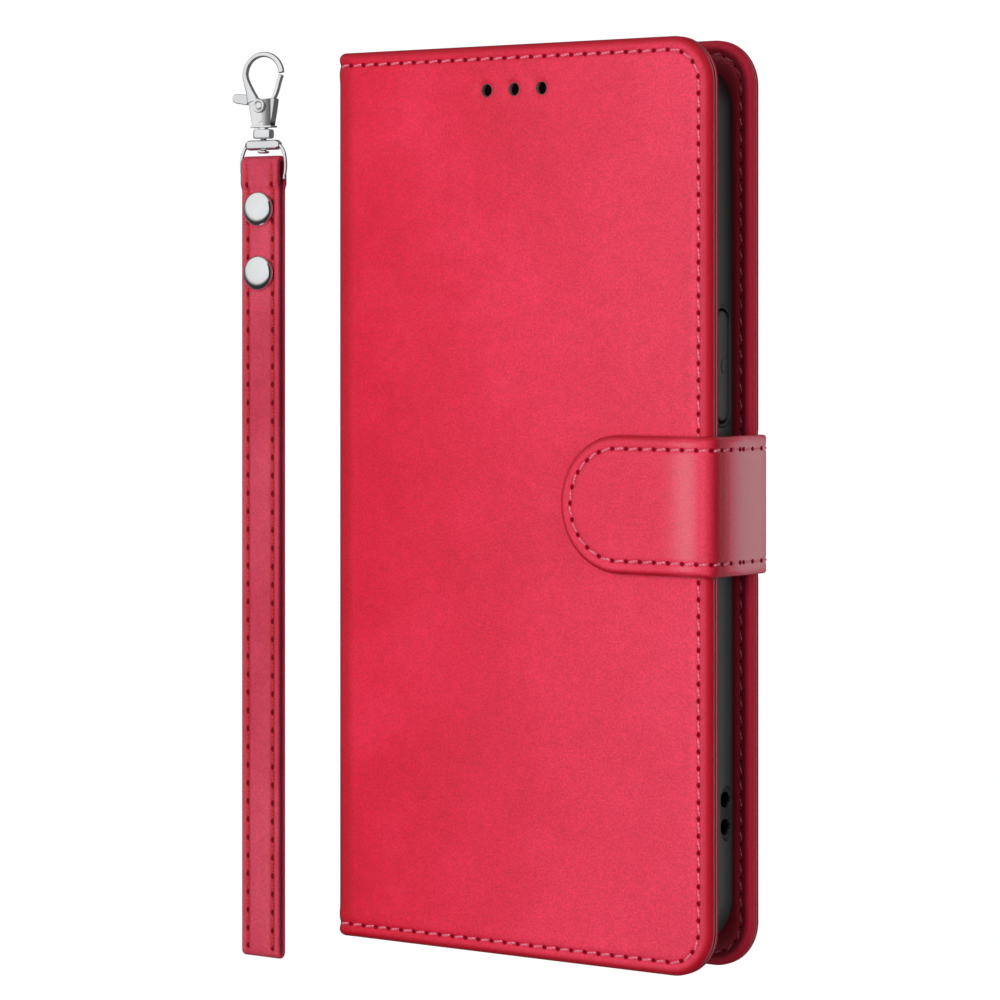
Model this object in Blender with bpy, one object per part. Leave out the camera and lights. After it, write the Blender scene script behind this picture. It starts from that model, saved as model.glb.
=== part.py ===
"""A folding wallet case for a phone, closed, with a magnetic clasp strap and a wrist strap beside it.

Metres. The case lies on its back cover: +Z comes out of the front cover, +Y is the top of the case,
+X is the edge that opens. The origin is the middle of the back cover's outer face.
"""

import math

import bmesh
import bpy
from mathutils import Vector

MM = 0.001
GAP = 0.3 * MM
FINE_GAP = 0.1 * MM

# covers
COVER_WIDTH = 84.4 * MM
COVER_HEIGHT = 168.0 * MM
CASE_THICK = 17.0 * MM
COVER_THICK = 3.0 * MM
LEATHER = 0.8 * MM
LINING = 0.7 * MM
FREE_CORNER = 8.5 * MM
SPINE_CORNER = 2.2 * MM
COVER_ROLL = COVER_THICK / 2

# phone shell
SHELL_INSET = 3.6 * MM
SHELL_END_INSET = 3.5 * MM
SHELL_WALL = 1.6 * MM
SHELL_FLOOR = 0.8 * MM
SHELL_THICK = 8.6 * MM
SHELL_CORNER = 9.5 * MM
SHELL_LIP = 0.6 * MM

# buttons, side openings and holes of the shell
BUTTON_TRAVEL = 0.4 * MM
BUTTON_TALL = 4.0 * MM
VOLUME_LONG = 20.0 * MM
POWER_LONG = 10.0 * MM
LANYARD_HOLE = 2.7 * MM
PORT_WIDE = 13.0 * MM
PORT_TALL = 4.8 * MM
JACK_HOLE = 4.6 * MM
SPEAKER_HOLE = 2.5 * MM
SPEAKER_PITCH = 6.2 * MM
SPEAKER_X = -1.1 * MM
CAMERA_WIDE = 26.0 * MM
CAMERA_TALL = 15.0 * MM

# clasp
STRAP_WIDE = 25.0 * MM
STRAP_SIDE_THICK = 1.4 * MM
TONGUE_THICK = 2.0 * MM
TONGUE_LONG = 31.6 * MM
MAGNET_ROUND = 11.0 * MM

# wrist strap and hook
LANYARD_WIDE = 9.6 * MM
LANYARD_LONG = 159.0 * MM
LANYARD_SKIN = 1.1 * MM
LANYARD_GAP = 0.3 * MM
RIVET_DOME = 7.2 * MM
RING_WIRE = 0.8 * MM
RING_WIDE = LANYARD_WIDE + 2.4 * MM

# places worked out from the sizes above
RIGHT = COVER_WIDTH / 2
LEFT = -COVER_WIDTH / 2
TOP_EDGE = COVER_HEIGHT / 2
FRONT = CASE_THICK
FOLD_X = LEFT + COVER_ROLL
BACK_FOLD_Z = COVER_ROLL
FRONT_FOLD_Z = CASE_THICK - COVER_ROLL
SHELL_BOTTOM = COVER_THICK + GAP
SHELL_TOP = SHELL_BOTTOM + SHELL_THICK
SHELL_RIGHT = RIGHT - SHELL_INSET
SHELL_END = TOP_EDGE - SHELL_END_INSET
SIDE_INNER = RIGHT + GAP
SIDE_MIDDLE = SIDE_INNER + STRAP_SIDE_THICK / 2
TONGUE_BOTTOM = CASE_THICK + 0.2 * MM
TONGUE_TOP = TONGUE_BOTTOM + TONGUE_THICK
TONGUE_RIGHT = RIGHT + 0.4 * MM
TONGUE_LEFT = TONGUE_RIGHT - TONGUE_LONG
LOWER_FOLD = Vector((SIDE_MIDDLE, 0, STRAP_SIDE_THICK / 2 + 0.1 * MM))
UPPER_FOLD = Vector((SIDE_MIDDLE, 0, TONGUE_TOP - STRAP_SIDE_THICK / 2))
MAGNET_X = TONGUE_LEFT + STRAP_WIDE / 2
SPINE_FOLD = Vector((FOLD_X, 0, BACK_FOLD_Z))
COVER_FOLD = Vector((FOLD_X, 0, FRONT_FOLD_Z))
SPEAKER_Y = TOP_EDGE - 8.3 * MM
CAMERA_Y = TOP_EDGE - 22.0 * MM
LANYARD_X = LEFT - 30.6 * MM
LANYARD_Z = 1.9 * MM
LANYARD_TOP = TOP_EDGE - 18.2 * MM
LANYARD_BOTTOM = LANYARD_TOP - LANYARD_LONG
RING_Y = LANYARD_TOP - 4.6 * MM
HOOK_PIVOT = Vector((LANYARD_X - 0.3 * MM, LANYARD_TOP + 9.85 * MM, LANYARD_Z))

bpy.context.scene.unit_settings.scale_length = 1.0
for old in list(bpy.data.objects):
    bpy.data.objects.remove(old)


def paint(name, colour, roughness, metallic=0.0):
    """A plain surface of its own for one piece."""
    material = bpy.data.materials.new(name)
    material.use_nodes = True
    shader = material.node_tree.nodes["Principled BSDF"]
    shader.inputs["Base Color"].default_value = (*colour, 1.0)
    shader.inputs["Roughness"].default_value = roughness
    shader.inputs["Metallic"].default_value = metallic
    return material


RED = (0.62, 0.03, 0.08)
DARK_RED = (0.28, 0.01, 0.03)
DUSTY_RED = (0.50, 0.07, 0.12)
BOARD = (0.30, 0.30, 0.30)
SHELL_BLACK = (0.03, 0.04, 0.04)
STEEL = (0.75, 0.75, 0.76)


def finish(name, work, colour, roughness, metallic, pivot):
    """Makes the object of a finished shape, with its own origin at the pivot."""
    bmesh.ops.recalc_face_normals(work, faces=work.faces)
    bmesh.ops.translate(work, vec=-Vector(pivot), verts=work.verts)
    mesh = bpy.data.meshes.new(name)
    work.to_mesh(mesh)
    work.free()
    thing = bpy.data.objects.new(name, mesh)
    thing.location = pivot
    mesh.materials.append(paint(name, colour, roughness, metallic))
    bpy.context.scene.collection.objects.link(thing)
    return thing


def loft(name, rings, colour, roughness, metallic=0.0, pivot=(0, 0, 0)):
    """A closed solid through rings of as many points each, with a flat face at both ends."""
    work = bmesh.new()
    loops = [[work.verts.new(point) for point in ring] for ring in rings]
    count = len(rings[0])
    for low, high in zip(loops, loops[1:]):
        for i in range(count):
            j = (i + 1) % count
            work.faces.new((low[i], low[j], high[j], high[i]))
    work.faces.new(loops[0])
    work.faces.new(loops[-1])
    return finish(name, work, colour, roughness, metallic, pivot)


def tube(name, path, around, colour, roughness, metallic=0.0, pivot=(0, 0, 0), closed=False):
    """A solid whose cross-sections are given ring by ring, closed on itself or capped."""
    work = bmesh.new()
    loops = [[work.verts.new(point) for point in ring] for ring in path]
    last = len(loops) if closed else len(loops) - 1
    for n in range(last):
        low, high = loops[n], loops[(n + 1) % len(loops)]
        for i in range(around):
            j = (i + 1) % around
            work.faces.new((low[i], low[j], high[j], high[i]))
    if not closed:
        work.faces.new(loops[0])
        work.faces.new(loops[-1])
    return finish(name, work, colour, roughness, metallic, pivot)


def outline(wide, tall, left_corner, right_corner, inset=0.0, steps=6, middle=(0, 0)):
    """Points round a rectangle with rounded corners, moved in by the inset."""
    half_x = wide / 2 - inset
    half_y = tall / 2 - inset
    least = 0.15 * MM
    points = []
    for side_x, side_y, corner, start in (
        (1, 1, right_corner, 0),
        (-1, 1, left_corner, 90),
        (-1, -1, left_corner, 180),
        (1, -1, right_corner, 270),
    ):
        corner = max(corner - inset, least)
        x = middle[0] + side_x * (half_x - corner)
        y = middle[1] + side_y * (half_y - corner)
        for step in range(steps + 1):
            angle = math.radians(start + 90 * step / steps)
            points.append((x + corner * math.cos(angle), y + corner * math.sin(angle)))
    return points


def tray_steps(skin, roll, depth):
    """Pairs of inset and height down the outside of a tray, over its rim and into it."""
    steps = []
    low = math.asin(max(0.0, 1 - depth / roll))
    for n in range(6):
        angle = math.pi / 2 + (low - math.pi / 2) * n / 5
        steps.append((roll - roll * math.cos(angle), roll - roll * math.sin(angle)))
    if depth > roll + 0.01 * MM:
        steps.append((0.0, depth))
    inner = min(skin, roll)
    bend = 0.3 * MM
    steps.append((skin, depth))
    steps.append((skin, min(inner + bend, depth - 0.05 * MM)))
    steps.append((skin + bend, skin))
    return steps


def plate_steps(thick, bevel):
    """Pairs of inset and height round the edge of a flat plate."""
    return [(bevel, 0.0), (0.0, bevel), (0.0, thick - bevel), (bevel, thick)]


def stepped(name, wide, tall, left_corner, right_corner, pairs, put, colour, roughness,
            metallic=0.0, pivot=(0, 0, 0), grow=0.0, middle=(0, 0), steps=6):
    """A solid whose outline steps in and up by the given pairs. put turns (u, v, w) into a place."""
    rings = []
    for inset, height in pairs:
        flat = outline(wide, tall, left_corner, right_corner, inset + grow, steps, middle)
        rings.append([put(u, v, height) for u, v in flat])
    return loft(name, rings, colour, roughness, metallic, pivot)


def hide(cutter):
    """Keeps a cutter out of the render."""
    cutter.hide_render = True
    cutter.display_type = "WIRE"
    return cutter


def join(thing, other, operation):
    """Adds an exact Boolean."""
    change = thing.modifiers.new(other.name, "BOOLEAN")
    change.operation = operation
    change.solver = "EXACT"
    change.object = other
    return thing


def cut(thing, *cutters):
    for cutter in cutters:
        join(thing, cutter, "DIFFERENCE")
    return thing


def block(name, low, high):
    """A box between two corners, for cutting."""
    rings = [
        [(low[0], low[1], z), (high[0], low[1], z), (high[0], high[1], z), (low[0], high[1], z)]
        for z in (low[2], high[2])
    ]
    return hide(loft(name, rings, BOARD, 0.5))


def rod_rings(radius, start, end, axis, count):
    """Two rings of a round bar along one axis, 0, 1 or 2, from start to end."""
    rings = []
    for at in (start, end):
        ring = []
        for i in range(count):
            angle = 2 * math.pi * i / count
            flat = [radius * math.cos(angle), radius * math.sin(angle)]
            point = list(at)
            others = [k for k in range(3) if k != axis]
            point[others[0]] += flat[0]
            point[others[1]] += flat[1]
            ring.append(tuple(point))
        rings.append(ring)
    return rings


def rod(name, radius, start, end, axis, count=20):
    """A round bar for cutting."""
    return hide(loft(name, rod_rings(radius, start, end, axis, count), BOARD, 0.5))


def turned(name, profile, middle, axis, colour, roughness, metallic=0.0, pivot=None, count=24):
    """A solid turned round an axis through the middle: pairs of radius and place along it."""
    rings = []
    for radius, along in profile:
        centre = list(middle)
        centre[axis] += along
        rings += rod_rings(radius, centre, centre, axis, count)[:1]
    return loft(name, rings, colour, roughness, metallic, pivot or middle)


def back_out(u, v, w):
    return (u, v, w)


def back_in(u, v, w):
    return (u, v, COVER_THICK - w)


def front_out(u, v, w):
    return (u, v, CASE_THICK - w)


def front_in(u, v, w):
    return (u, v, CASE_THICK - COVER_THICK + w)


def spine_out(u, v, w):
    return (LEFT + w, v, CASE_THICK / 2 + u)


def spine_in(u, v, w):
    return (LEFT + COVER_THICK - w, v, CASE_THICK / 2 + u)


# ---- covers -------------------------------------------------------------------------------

HALF = COVER_THICK / 2 - GAP / 2
OUTER = tray_steps(LEATHER, COVER_ROLL, HALF)
INNER = tray_steps(LINING, COVER_ROLL, HALF)
BOARD_INSET = LEATHER + GAP
BOARD_LOW = LEATHER + GAP
BOARD_THICK = COVER_THICK - LEATHER - LINING - 2 * GAP


def cover(side, put_out, put_in, pivot):
    """The leather, the board and the lining of one cover."""
    size = (COVER_WIDTH, COVER_HEIGHT, SPINE_CORNER, FREE_CORNER)
    leather = stepped(side + "_leather", *size, OUTER, put_out, RED, 0.45, pivot=pivot)
    lining = stepped(side + "_lining", *size, INNER, put_in, DARK_RED, 0.6, pivot=pivot)
    flat = [(BOARD_INSET, BOARD_LOW), (BOARD_INSET, BOARD_LOW + BOARD_THICK)]
    board = stepped(side + "_board", *size, flat, put_out, BOARD, 0.9, pivot=pivot)
    return leather, board, lining


back = cover("back_cover", back_out, back_in, (0, 0, 0))
front = cover("front_cover", front_out, front_in, COVER_FOLD)

# window for the camera, a little larger in the board, through the back cover and the shell
for n, thing in enumerate(back):
    spare = 0.3 * MM if n == 1 else 0.0
    window = stepped(
        "camera_cut_%d" % n, CAMERA_WIDE + 2 * spare, CAMERA_TALL + 2 * spare, 4 * MM, 4 * MM,
        [(0.0, -1 * MM), (0.0, 6 * MM)], back_out, BOARD, 0.5, middle=(0, CAMERA_Y), steps=5,
    )
    cut(thing, hide(window))

# the strap leaves the back cover through a notch in its leather
ANCHOR_LEFT = RIGHT - 19.7 * MM
NOTCH = block(
    "anchor_notch",
    (ANCHOR_LEFT - GAP, -STRAP_WIDE / 2 - GAP, -1 * MM),
    (RIGHT + 1 * MM, STRAP_WIDE / 2 + GAP, HALF + 0.1 * MM),
)
cut(back[0], NOTCH)

# holes over the phone's earpiece, a little larger in the board
for n, thing in enumerate(front):
    for k in (-1, 0, 1):
        spare = 0.2 * MM if n == 1 else 0.0
        at = (SPEAKER_X + k * SPEAKER_PITCH, SPEAKER_Y, CASE_THICK - COVER_THICK - 1 * MM)
        end = (SPEAKER_X + k * SPEAKER_PITCH, SPEAKER_Y, CASE_THICK + 1 * MM)
        cut(thing, rod("speaker_cut_%d_%d" % (n, k + 1), SPEAKER_HOLE / 2 + spare, at, end, 2))

# magnet in the board, under the tongue
magnet_low = CASE_THICK - BOARD_LOW - BOARD_THICK
magnet_high = CASE_THICK - BOARD_LOW
cut(front[1], rod(
    "cover_magnet_cut", MAGNET_ROUND / 2 + GAP,
    (MAGNET_X, 0, magnet_low - 1 * MM), (MAGNET_X, 0, magnet_high + 1 * MM), 2, 28,
))
loft("cover_magnet", rod_rings(
    MAGNET_ROUND / 2, (MAGNET_X, 0, magnet_low), (MAGNET_X, 0, magnet_high), 2, 28,
), STEEL, 0.35, 1.0, COVER_FOLD)

# pockets inside the front cover: a long one for notes, three stepped ones for cards
POCKET_THICK = 0.25 * MM
POCKET_STEP = 0.45 * MM
POCKET_RIGHT = RIGHT - 6.2 * MM
pocket_z = CASE_THICK - COVER_THICK - 0.2 * MM - POCKET_THICK
POCKETS = (
    ("cash_pocket_panel", LEFT + 8.2 * MM, -71 * MM, 66 * MM),
    ("card_pocket_1", POCKET_RIGHT - 60 * MM, -52 * MM, 40 * MM),
    ("card_pocket_2", POCKET_RIGHT - 48 * MM, -52 * MM, 40 * MM),
    ("card_pocket_3", POCKET_RIGHT - 36 * MM, -52 * MM, 40 * MM),
)
for n, (name, left, low, high) in enumerate(POCKETS):
    def put_pocket(u, v, w, base=pocket_z - n * POCKET_STEP):
        return (u, v, base + w)
    stepped(
        name, POCKET_RIGHT - left, high - low, 2 * MM, 3 * MM,
        [(0.0, 0.0), (0.0, POCKET_THICK)], put_pocket, DARK_RED, 0.6, pivot=COVER_FOLD,
        middle=((POCKET_RIGHT + left) / 2, (low + high) / 2), steps=4,
    )

# ---- spine --------------------------------------------------------------------------------

SPINE_WIDE = CASE_THICK - 2 * COVER_THICK - 2 * GAP
SPINE_ROLL = 0.5 * MM
stepped(
    "spine_leather", SPINE_WIDE, COVER_HEIGHT, 0.8 * MM, 0.8 * MM,
    tray_steps(LEATHER, SPINE_ROLL, HALF), spine_out, RED, 0.45, pivot=SPINE_FOLD, steps=3,
)
stepped(
    "spine_board", SPINE_WIDE, COVER_HEIGHT, 0.5 * MM, 0.5 * MM,
    [(BOARD_INSET, BOARD_LOW), (BOARD_INSET, BOARD_LOW + BOARD_THICK)],
    spine_out, BOARD, 0.9, pivot=SPINE_FOLD, steps=2,
)
stepped(
    "spine_lining", SPINE_WIDE, COVER_HEIGHT, 0.8 * MM, 0.8 * MM,
    tray_steps(LINING, SPINE_ROLL, HALF), spine_in, DARK_RED, 0.6, pivot=SPINE_FOLD, steps=3,
)

# ---- shell that holds the phone -----------------------------------------------------------

SHELL_PAIRS = [
    (1.0 * MM, 0.0),
    (0.4 * MM, 0.2 * MM),
    (0.1 * MM, 0.6 * MM),
    (0.0, 1.2 * MM),
    (0.0, SHELL_THICK - 0.8 * MM),
    (0.2 * MM, SHELL_THICK - 0.2 * MM),
    (0.6 * MM, SHELL_THICK),
    (SHELL_WALL + SHELL_LIP - 0.2 * MM, SHELL_THICK),
    (SHELL_WALL + SHELL_LIP, SHELL_THICK - 0.3 * MM),
    (SHELL_WALL, SHELL_THICK - 1.0 * MM),
    (SHELL_WALL, SHELL_FLOOR + 0.4 * MM),
    (SHELL_WALL + 0.4 * MM, SHELL_FLOOR),
]


def put_shell(u, v, w):
    return (u, v, SHELL_BOTTOM + w)


shell = stepped(
    "phone_shell", 2 * SHELL_RIGHT, 2 * SHELL_END, SHELL_CORNER, SHELL_CORNER,
    SHELL_PAIRS, put_shell, SHELL_BLACK, 0.5,
)
camera_in_shell = stepped(
    "camera_cut_shell", CAMERA_WIDE - 1 * MM, CAMERA_TALL - 1 * MM, 3.5 * MM, 3.5 * MM,
    [(0.0, 0.0), (0.0, 8 * MM)], back_out, BOARD, 0.5, middle=(0, CAMERA_Y), steps=5,
)
cut(shell, hide(camera_in_shell))

PORT_Z = SHELL_BOTTOM + 4.3 * MM


def put_end(u, v, w):
    return (u, -SHELL_END - 3 * MM + w, PORT_Z + v)


port = stepped(
    "port_cut", PORT_WIDE, PORT_TALL, 2.2 * MM, 2.2 * MM, [(0.0, 0.0), (0.0, 7 * MM)],
    put_end, BOARD, 0.5, steps=5,
)
cut(shell, hide(port))
JACK_X = -22 * MM
cut(shell, rod(
    "jack_cut", JACK_HOLE / 2,
    (JACK_X, SHELL_END - 4 * MM, PORT_Z), (JACK_X, SHELL_END + 2 * MM, PORT_Z), 1,
))

# lanyard holes, in a shallow recess
HOLES_Y = -SHELL_END + 24.75 * MM
HOLES_Z = SHELL_BOTTOM + 2.6 * MM


def put_side(u, v, w):
    return (w, v, u)


recess = stepped(
    "lanyard_recess", 4.2 * MM, 9.5 * MM, 2.05 * MM, 2.05 * MM,
    [(0.0, SHELL_RIGHT - 0.5 * MM), (0.0, SHELL_RIGHT + 2 * MM)], put_side, BOARD, 0.5,
    middle=(HOLES_Z, HOLES_Y),
)
cut(shell, hide(recess))
for k in (-1, 1):
    y = HOLES_Y + k * 2.45 * MM
    cut(shell, rod(
        "lanyard_cut_%d" % (k + 1), LANYARD_HOLE / 2,
        (SHELL_RIGHT - 4 * MM, y, HOLES_Z), (SHELL_RIGHT + 2 * MM, y, HOLES_Z), 0,
    ))

# ---- buttons, each with a flange in a recess on the inside of the wall --------------------

BUTTON_Z = SHELL_BOTTOM + 4.3 * MM
FLANGE = 0.7 * MM
FLANGE_THICK = 0.5 * MM
for name, length, y in (
    ("volume_button", VOLUME_LONG, 24.9 * MM),
    ("power_button", POWER_LONG, -1.0 * MM),
):
    wall_in = SHELL_RIGHT - SHELL_WALL
    seat = stepped(
        name + "_seat", BUTTON_TALL + 2 * (FLANGE + GAP), length + 2 * (FLANGE + GAP),
        1.5 * MM, 1.5 * MM, [(0.0, wall_in - 1 * MM), (0.0, wall_in + 0.85 * MM)],
        put_side, BOARD, 0.5, middle=(BUTTON_Z, y), steps=4,
    )
    slot = stepped(
        name + "_slot", BUTTON_TALL + 2 * GAP, length + 2 * GAP,
        BUTTON_TALL / 2, BUTTON_TALL / 2, [(0.0, wall_in), (0.0, SHELL_RIGHT + 2 * MM)],
        put_side, BOARD, 0.5, middle=(BUTTON_Z, y), steps=6,
    )
    cut(shell, hide(seat), hide(slot))
    face = SHELL_RIGHT + 0.3 * MM
    stepped(
        name, BUTTON_TALL, length, BUTTON_TALL / 2, BUTTON_TALL / 2,
        [
            (-FLANGE, wall_in + 0.05 * MM),
            (-FLANGE, wall_in + 0.05 * MM + FLANGE_THICK),
            (0.0, wall_in + 0.06 * MM + FLANGE_THICK),
            (0.0, face - 0.4 * MM),
            (0.15 * MM, face - 0.1 * MM),
            (0.5 * MM, face),
        ],
        put_side, SHELL_BLACK, 0.5, pivot=(SHELL_RIGHT, y, BUTTON_Z), middle=(BUTTON_Z, y), steps=6,
    )

# ---- clasp strap --------------------------------------------------------------------------

ANCHOR_RIGHT = RIGHT + 0.1 * MM
stepped(
    "clasp_anchor", ANCHOR_RIGHT - ANCHOR_LEFT, STRAP_WIDE, 0.5 * MM, 0.5 * MM,
    [(0.05 * MM, 0.0), (0.0, 0.15 * MM), (0.0, LEATHER - 0.1 * MM), (0.1 * MM, LEATHER)],
    back_out, RED, 0.45, middle=((ANCHOR_LEFT + ANCHOR_RIGHT) / 2, 0), steps=2,
)

SIDE_LOW = 1.05 * MM
SIDE_HIGH = TONGUE_BOTTOM - 0.3 * MM
SIDE_LINING = 0.45 * MM
SIDE_LEATHER = STRAP_SIDE_THICK - SIDE_LINING - 0.25 * MM
for name, start, thick, colour in (
    ("clasp_side_lining", SIDE_INNER, SIDE_LINING, DARK_RED),
    ("clasp_side_leather", SIDE_INNER + STRAP_SIDE_THICK - SIDE_LEATHER, SIDE_LEATHER, RED),
):
    def put_flap(u, v, w, base=start):
        return (base + w, v, u)
    stepped(
        name, SIDE_HIGH - SIDE_LOW, STRAP_WIDE, 0.2 * MM, 0.2 * MM,
        plate_steps(thick, 0.12 * MM), put_flap, colour, 0.45, pivot=LOWER_FOLD,
        middle=((SIDE_LOW + SIDE_HIGH) / 2, 0), steps=2,
    )

TONGUE_SKIN = 0.5 * MM
TONGUE_DEEP = TONGUE_THICK / 2 - GAP / 2
TONGUE_MIDDLE = ((TONGUE_LEFT + TONGUE_RIGHT) / 2, 0)
for name, base, way, colour in (
    ("clasp_tongue_leather", TONGUE_TOP, -1, RED),
    ("clasp_tongue_lining", TONGUE_BOTTOM, 1, DARK_RED),
):
    def put_tongue(u, v, w, base=base, way=way):
        return (u, v, base + way * w)
    stepped(
        name, TONGUE_LONG, STRAP_WIDE, STRAP_WIDE / 2, 0.8 * MM,
        tray_steps(TONGUE_SKIN, 0.5 * MM, TONGUE_DEEP), put_tongue, colour, 0.45,
        pivot=UPPER_FOLD, middle=TONGUE_MIDDLE, steps=10,
    )
TONGUE_CENTRE_Z = (TONGUE_BOTTOM + TONGUE_TOP) / 2
loft("clasp_magnet", rod_rings(
    MAGNET_ROUND / 2, (MAGNET_X, 0, TONGUE_CENTRE_Z - 0.25 * MM),
    (MAGNET_X, 0, TONGUE_CENTRE_Z + 0.25 * MM), 2, 28,
), STEEL, 0.35, 1.0, UPPER_FOLD)

# ---- wrist strap: one band folded flat on itself ------------------------------------------

CLOSE = LANYARD_GAP / 2 + LANYARD_SKIN / 2
OPEN = RING_WIRE / 2 + 0.2 * MM + LANYARD_SKIN / 2
TOP_TURN = LANYARD_TOP - OPEN - LANYARD_SKIN / 2
BOTTOM_TURN = LANYARD_BOTTOM + CLOSE + LANYARD_SKIN / 2
SPREAD_LOW = RING_Y - 2.3 * MM
SPREAD_HIGH = RING_Y - 0.9 * MM


def strap_path():
    """Points along the middle of the band as (y, z, outward y, outward z)."""
    points = []
    for n in range(13):
        angle = math.radians(90 + 180 * n / 12)
        points.append((BOTTOM_TURN + CLOSE * math.cos(angle), CLOSE * math.sin(angle),
                       math.cos(angle), math.sin(angle)))
    ends = [BOTTOM_TURN + (SPREAD_LOW - BOTTOM_TURN) * n / 10 for n in range(1, 11)]
    for y in ends:
        points.append((y, -CLOSE, 0.0, -1.0))
    points.append((SPREAD_HIGH, -OPEN, 0.0, -1.0))
    for n in range(13):
        angle = math.radians(-90 + 180 * n / 12)
        points.append((TOP_TURN + OPEN * math.cos(angle), OPEN * math.sin(angle),
                       math.cos(angle), math.sin(angle)))
    points.append((SPREAD_HIGH, OPEN, 0.0, 1.0))
    for y in reversed(ends):
        points.append((y, CLOSE, 0.0, 1.0))
    return points


rings = []
half = LANYARD_WIDE / 2
soft = 0.25 * MM
for y, z, out_y, out_z in strap_path():
    ring = []
    for across, out in (
        (-half + soft, 0.5), (half - soft, 0.5), (half, 0.5 - 0.22), (half, -0.5 + 0.22),
        (half - soft, -0.5), (-half + soft, -0.5), (-half, -0.5 + 0.22), (-half, 0.5 - 0.22),
    ):
        push = out * LANYARD_SKIN
        ring.append((LANYARD_X + across, y + out_y * push, LANYARD_Z + z + out_z * push))
    rings.append(ring)
strap = tube("wrist_strap_loop", rings, 8, DUSTY_RED, 0.5, closed=True)

STRAP_TOP_Z = LANYARD_Z + CLOSE + LANYARD_SKIN / 2
STRAP_LOW_Z = LANYARD_Z - CLOSE - LANYARD_SKIN / 2
RIVETS = (("upper", LANYARD_TOP - 10.6 * MM), ("lower", LANYARD_TOP - 23.3 * MM))
for name, y in RIVETS:
    cut(strap, rod(
        "rivet_cut_" + name, 1.4 * MM, (LANYARD_X, y, -1 * MM), (LANYARD_X, y, 6 * MM), 2,
    ))
    dome = RIVET_DOME / 2
    profile = [(1.2 * MM, 0.9 * MM), (1.2 * MM, STRAP_TOP_Z + FINE_GAP)]
    profile += [(dome - 0.25 * MM, STRAP_TOP_Z + FINE_GAP)]
    for n in range(7):
        angle = math.radians(86 * n / 6)
        profile.append((dome * math.cos(angle),
                        STRAP_TOP_Z + 0.3 * MM + 2.0 * MM * math.sin(angle)))
    turned("rivet_cap_" + name, profile, (LANYARD_X, y, 0), 2, STEEL, 0.2, 1.0)
    turned("rivet_base_" + name, [
        (2.8 * MM, 0.05 * MM), (3.2 * MM, 0.2 * MM), (3.2 * MM, 0.4 * MM), (3.0 * MM, 0.55 * MM),
    ], (LANYARD_X, y, 0), 2, STEEL, 0.3, 1.0)

# ---- ring: a wire loop with a broad bar that the swivel passes through ---------------------

RING_AXIS = Vector((LANYARD_X, RING_Y, LANYARD_Z))
BAR_LOW = LANYARD_TOP + 1.1 * MM
BAR_HIGH = BAR_LOW + 2.0 * MM
wire = RING_WIRE / 2
ring_half = RING_WIDE / 2 - wire


def ring_centreline():
    """Flat points round the ring, from one end inside the bar to the other."""
    bend = 1.0 * MM
    points = [(-3.4 * MM, (BAR_LOW + BAR_HIGH) / 2), (-4.3 * MM, BAR_HIGH - 0.9 * MM)]
    points += [(-LANYARD_WIDE / 2 - 0.2 * MM, BAR_LOW - 0.1 * MM), (-ring_half, BAR_LOW - 2.0 * MM)]
    for n in range(6):
        angle = math.radians(180 + 90 * n / 5)
        points.append((-ring_half + bend + bend * math.cos(angle),
                       RING_Y + bend + bend * math.sin(angle)))
    return points + [(-x, y) for x, y in reversed(points)]


def sweep(path, radius, count, z):
    """Rings of a round wire along a flat path."""
    rings = []
    for n, (x, y) in enumerate(path):
        before = path[max(n - 1, 0)]
        after = path[min(n + 1, len(path) - 1)]
        along = Vector((after[0] - before[0], after[1] - before[1], 0)).normalized()
        side = Vector((-along.y, along.x, 0))
        ring = []
        for i in range(count):
            angle = 2 * math.pi * i / count
            place = Vector((x, y, z)) + side * (radius * math.cos(angle))
            place.z += radius * math.sin(angle)
            ring.append(tuple(place))
        rings.append(ring)
    return rings


flat_path = [(LANYARD_X + x, y) for x, y in ring_centreline()]
ring_loop = loft("ring_wire_part", sweep(flat_path, wire, 10, LANYARD_Z), STEEL, 0.2, 1.0)
BAR_PAIRS = plate_steps(2.2 * MM, 0.35 * MM)


def put_bar(u, v, w):
    return (LANYARD_X + u, v, LANYARD_Z - 1.1 * MM + w)


bar = stepped(
    "swivel_ring", 8.4 * MM, BAR_HIGH - BAR_LOW, 0.5 * MM, 0.5 * MM, BAR_PAIRS, put_bar,
    STEEL, 0.2, 1.0, pivot=RING_AXIS, middle=(0, (BAR_LOW + BAR_HIGH) / 2), steps=3,
)
join(bar, hide(ring_loop), "UNION")
POST = 0.6 * MM
cut(bar, rod(
    "post_cut", POST + FINE_GAP, (LANYARD_X, BAR_LOW - 1 * MM, LANYARD_Z),
    (LANYARD_X, BAR_HIGH + 1 * MM, LANYARD_Z), 1, 20,
))

# ---- hook ---------------------------------------------------------------------------------

COLLAR_LOW = BAR_HIGH + GAP
COLLAR_HIGH = COLLAR_LOW + 1.8 * MM
BODY_LOW = COLLAR_HIGH + 1.1 * MM
EYE_LOW = LANYARD_TOP + 11.3 * MM
EYE_MIDDLE = LANYARD_TOP + 16.0 * MM
HOOK_WIDE = 5.3 * MM
WIRE_WIDE = 1.0 * MM
HOOK_THICK = 2.8 * MM


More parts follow.
